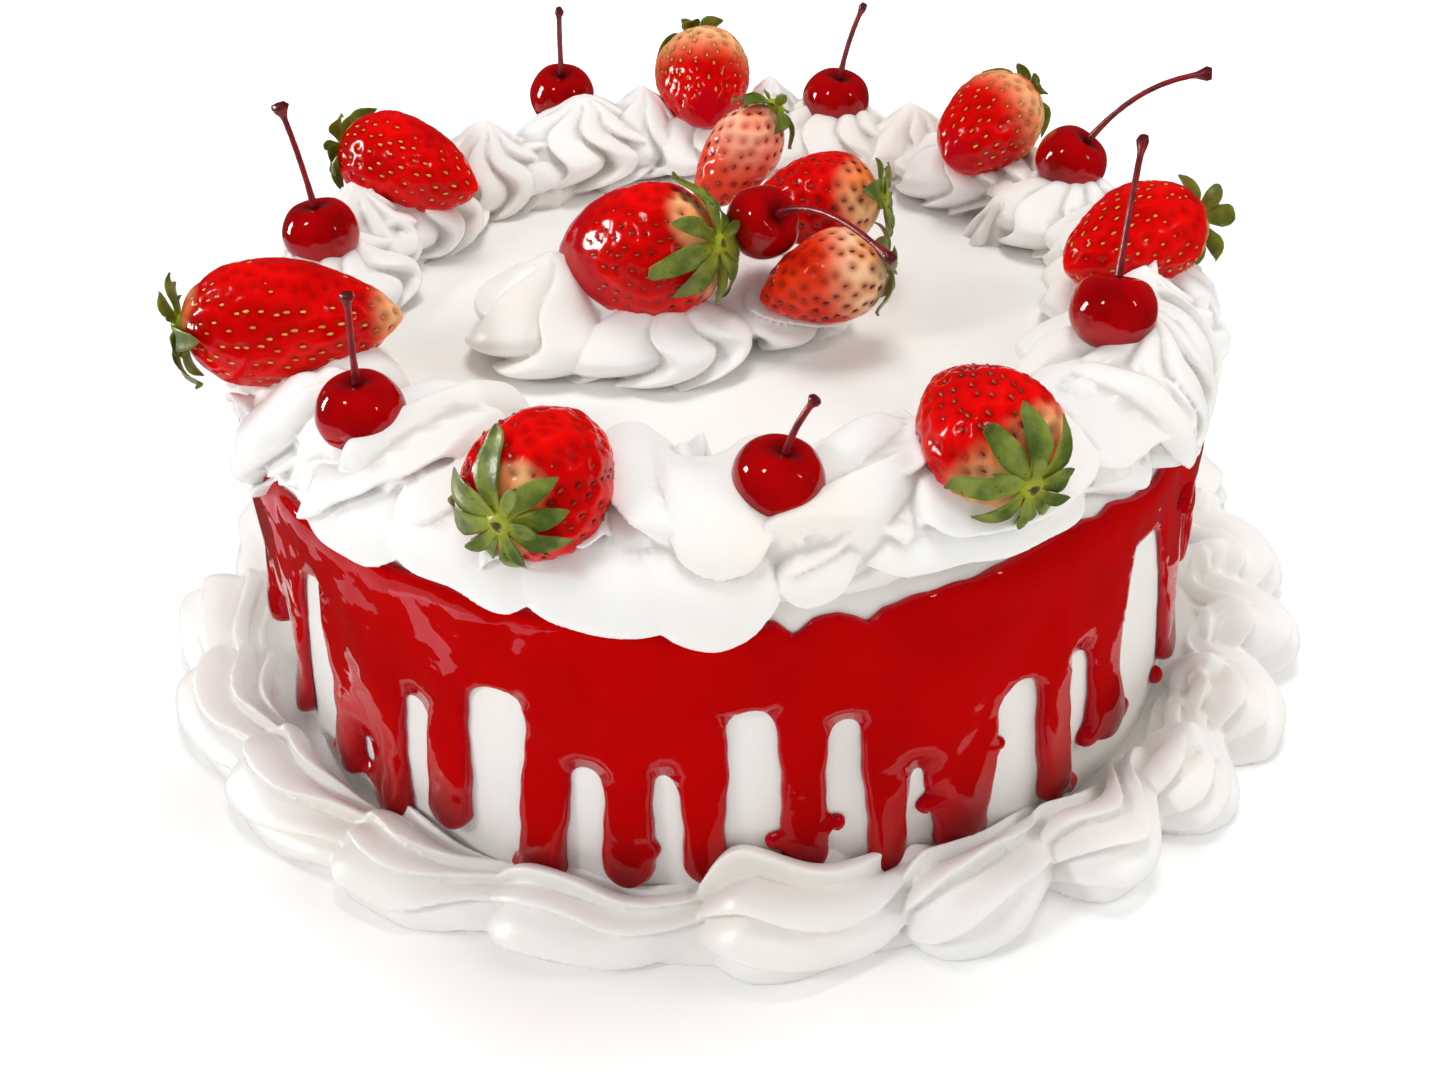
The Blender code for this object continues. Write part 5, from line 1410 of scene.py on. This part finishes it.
def buildCherry(number, centre, stemEnd, diameter):
    name = f"cherry{number}"
    rows, columns = 44, 56
    radius = diameter / 2
    draw = random.Random(number)
    cleft = draw.uniform(0, math.tau)
    bends = np.linspace(0.03, math.pi - 0.03, rows)
    turn = np.arange(columns) * math.tau / columns
    bend, turns = np.meshgrid(bends, turn, indexing="ij")
    bend, turns = bend.ravel(), turns.ravel()
    off = (turns - cleft + math.pi) % math.tau - math.pi
    groove = np.exp(-(off / 0.22) ** 2) * np.sin(bend) * 0.03
    wide = radius * np.sin(bend) ** 0.95 * (1 - groove + 0.012 * np.cos(2 * turns + number))
    tall = radius * 0.94 * np.cos(bend) - radius * 0.26 * np.exp(-(bend / 0.42) ** 2)
    points = np.stack((wide * np.cos(turns), wide * np.sin(turns), tall), -1)
    points = waver(points, 9, 0.35, 20 + number)
    mesh = makeMesh(name, points, [face[::-1] for face in ringFaces(rows, columns, capStart=True, capEnd=True)])
    # mask of painted shade in the dimple round the stem
    paint(mesh, "paintedShade", np.exp(-(bend / 0.3) ** 2))
    piece = addPiece(name, mesh, f"cherry_{number}", "cherry", cherryLook)
    turnOut(mesh)
    lean = (Vector(stemEnd) - Vector(centre)).normalized() + Vector((0, 0, 0.6))
    piece.matrix_world = aim(centre, lean)
    return lean.normalized()


def buildStem(number, centre, stemEnd, diameter, knob, bendAt, axis):
    name = f"cherryStem{number}"
    start = Vector(centre) + axis * (diameter * 0.36 - 0.4)
    end = Vector(stemEnd)
    bendPoint = start + axis * (end - start).length * bendAt
    draw = random.Random(40 + number)
    rings, shares = [], []
    steps, sides = stem["steps"], stem["sides"]
    before = None
    side = Vector((1, 0, 0))
    for step in range(steps + 1):
        share = step / steps
        place = start * (1 - share) ** 2 + bendPoint * 2 * share * (1 - share) + end * share ** 2
        ahead = (bendPoint - start) * (1 - share) + (end - bendPoint) * share
        ahead.normalize()
        side = (side - ahead * side.dot(ahead)).normalized()
        other = ahead.cross(side)
        thick = stem["radius"] * (1.25 - 0.35 * min(1, share * 4))
        thick += (stem["knob"] * knob - stem["radius"]) * float(smoothStep(0.86, 0.97, share))
        if share > 0.97:
            thick *= 0.8
        for index in range(sides):
            turn = math.tau * index / sides
            rough = 1 + (0.16 if share > 0.85 else 0.05) * draw.uniform(-1, 1)
            rings.append(tuple(place + side * (thick * rough * math.cos(turn)) + other * (thick * rough * math.sin(turn))))
            shares.append(share)
    mesh = makeMesh(name, rings, ringFaces(steps + 1, sides, capStart=True, capEnd=True))
    paint(mesh, "knob", smoothStep(0.9, 0.97, np.array(shares)))
    addPiece(name, mesh, f"cherry_stem_{number}", "stem", stemLook)


def buildCherries():
    for number, (centre, stemEnd, diameter, knob, bendAt) in enumerate(cherries, 1):
        axis = buildCherry(number, centre, stemEnd, diameter)
        buildStem(number, centre, stemEnd, diameter, knob, bendAt, axis)
    print("cherries ready")


# stage

def buildFloor():
    size = 6.0
    mesh = bpy.data.meshes.new("studioFloor")
    mesh.from_pydata([(-size, -size, 0), (size, -size, 0), (size, size, 0), (-size, size, 0)], [], [(0, 1, 2, 3)])
    floor = bpy.data.objects.new("studioFloor", mesh)
    bpy.context.scene.collection.objects.link(floor)
    material, nodes, link, shader = newMaterial("studioPaper", {
        "Roughness": 0.9, "Specular IOR Level": 0.1, "Emission Strength": 0.75,
    })
    place = nodes.new("ShaderNodeTexCoord")
    near = nodes.new("ShaderNodeTexGradient")
    near.gradient_type = "SPHERICAL"
    glow = nodes.new("ShaderNodeMapRange")
    glow.interpolation_type = "SMOOTHSTEP"
    glow.inputs["From Min"].default_value = 0.35
    glow.inputs["From Max"].default_value = 0.80
    link(place.outputs["Object"], near.inputs["Vector"])
    link(near.outputs["Fac"], glow.inputs["Value"])
    link(mixColour(nodes, link, glow.outputs["Result"], (1, 1, 1), (0.16, 0.16, 0.16)), shader.inputs["Emission Color"])
    paper = placeGroup(nodes, patches, Colour_A=(0.93, 0.93, 0.93, 1), Colour_B=(0.92, 0.92, 0.92, 1), Size=3.0)
    link(paper.outputs["Colour"], shader.inputs["Base Color"])
    mesh.materials.append(material)
    floor.location.z = -0.0004
    floor.visible_glossy = False


def buildCamera():
    view = {"y": -403.63, "z": 310.79, "pitch": 0.627, "yaw": -0.003, "roll": -0.032, "lens": 42.65, "sensor": 36}
    pitch, yaw, roll = view["pitch"], view["yaw"], view["roll"]
    ahead = Vector((math.sin(yaw) * math.cos(pitch), math.cos(yaw) * math.cos(pitch), -math.sin(pitch)))
    level = ahead.cross(Vector((0, 0, 1))).normalized()
    up = level.cross(ahead)
    right = level * math.cos(roll) + up * math.sin(roll)
    top = -level * math.sin(roll) + up * math.cos(roll)
    data = bpy.data.cameras.new("camera")
    data.sensor_width = view["sensor"]
    data.lens = view["lens"]
    data.clip_start = 0.01
    camera = bpy.data.objects.new("camera", data)
    bpy.context.scene.collection.objects.link(camera)
    camera.matrix_world = Matrix((
        (right.x, top.x, -ahead.x, 0),
        (right.y, top.y, -ahead.y, view["y"] * mm),
        (right.z, top.z, -ahead.z, view["z"] * mm),
        (0, 0, 0, 1),
    ))
    bpy.context.scene.camera = camera


# name, place, point that it faces, size, power, colour, and whether it lights surfaces or only shows in their shine
lamps = (
    ("keySoft", (-0.80, -0.50, 0.62), (0, 0, 0.06), (0.18, 0.18), 2.9, (1.0, 1.0, 1.0), True),
    ("frontSoft", (0.15, -1.0, 0.50), (0, 0, 0.06), (0.40, 0.40), 0.65, (1.0, 1.0, 1.0), True),
    ("topSoft", (0.05, 0.25, 1.30), (0, 0, 0.06), (0.50, 0.50), 7.6, (1.0, 1.0, 0.99), True),
    ("rightSoft", (0.90, -0.20, 0.60), (0, 0, 0.06), (0.40, 0.40), 2.3, (1.0, 1.0, 0.97), True),
    ("windowPane", (-1.10, 0.10, 0.36), (0, 0, 0.06), (0.20, 0.50), 20.0, (1.0, 0.93, 0.86), False),
    ("upperPane", (-0.55, -0.45, 0.95), (0, 0, 0.06), (0.10, 0.16), 1.9, (1.0, 1.0, 1.0), False),
    ("sidePane", (0.85, -0.50, 0.75), (0, 0, 0.06), (0.05, 0.22), 0.8, (1.0, 1.0, 1.0), False),
    ("nearPane", (-0.18, -0.19, 0.004), (-0.18, -0.19, 1.0), (0.07, 0.12), 0.05, (1.0, 0.72, 0.84), False),
    ("lowPane", (-0.30, -0.04, 0.004), (-0.30, -0.04, 1.0), (0.22, 0.50), 0.30, (1.0, 0.80, 0.90), False),
)


def buildLights():
    for name, place, target, size, power, colour, lights in lamps:
        data = bpy.data.lights.new(name, "AREA")
        data.shape = "RECTANGLE"
        data.size, data.size_y = size
        data.energy = power
        data.color = colour
        lamp = bpy.data.objects.new(name, data)
        bpy.context.scene.collection.objects.link(lamp)
        lamp.location = place
        lamp.rotation_euler = (Vector(target) - Vector(place)).to_track_quat("-Z", "Y").to_euler()
        lamp.visible_camera = False
        lamp.visible_diffuse = lights
        lamp.visible_glossy = not lights
    world = bpy.data.worlds.new("studio")
    bpy.context.scene.world = world
    world.use_nodes = True
    nodes, link = world.node_tree.nodes, world.node_tree.links.new
    ambient = nodes["Background"]
    ambient.inputs["Color"].default_value = (1, 0.995, 0.975, 1)
    ambient.inputs["Strength"].default_value = 0.45
    reflected = nodes.new("ShaderNodeBackground")
    reflected.inputs["Color"].default_value = (1, 1, 1, 1)
    reflected.inputs["Strength"].default_value = 0.05
    seen = nodes.new("ShaderNodeBackground")
    seen.inputs["Color"].default_value = (1, 1, 1, 1)
    seen.inputs["Strength"].default_value = 1.0
    ray = nodes.new("ShaderNodeLightPath")
    first = nodes.new("ShaderNodeMixShader")
    second = nodes.new("ShaderNodeMixShader")
    link(ray.outputs["Is Glossy Ray"], first.inputs[0])
    link(ambient.outputs[0], first.inputs[1])
    link(reflected.outputs[0], first.inputs[2])
    link(ray.outputs["Is Camera Ray"], second.inputs[0])
    link(first.outputs[0], second.inputs[1])
    link(seen.outputs[0], second.inputs[2])
    link(second.outputs[0], nodes["World Output"].inputs["Surface"])
    settings = bpy.context.scene.view_settings
    settings.view_transform = "Standard"
    settings.exposure = 0.0


buildCake()
buildGlaze()
buildTopBorder()
buildMound()
buildBaseBorder()
buildStrawberries()
buildCherries()
buildFloor()
buildCamera()
buildLights()
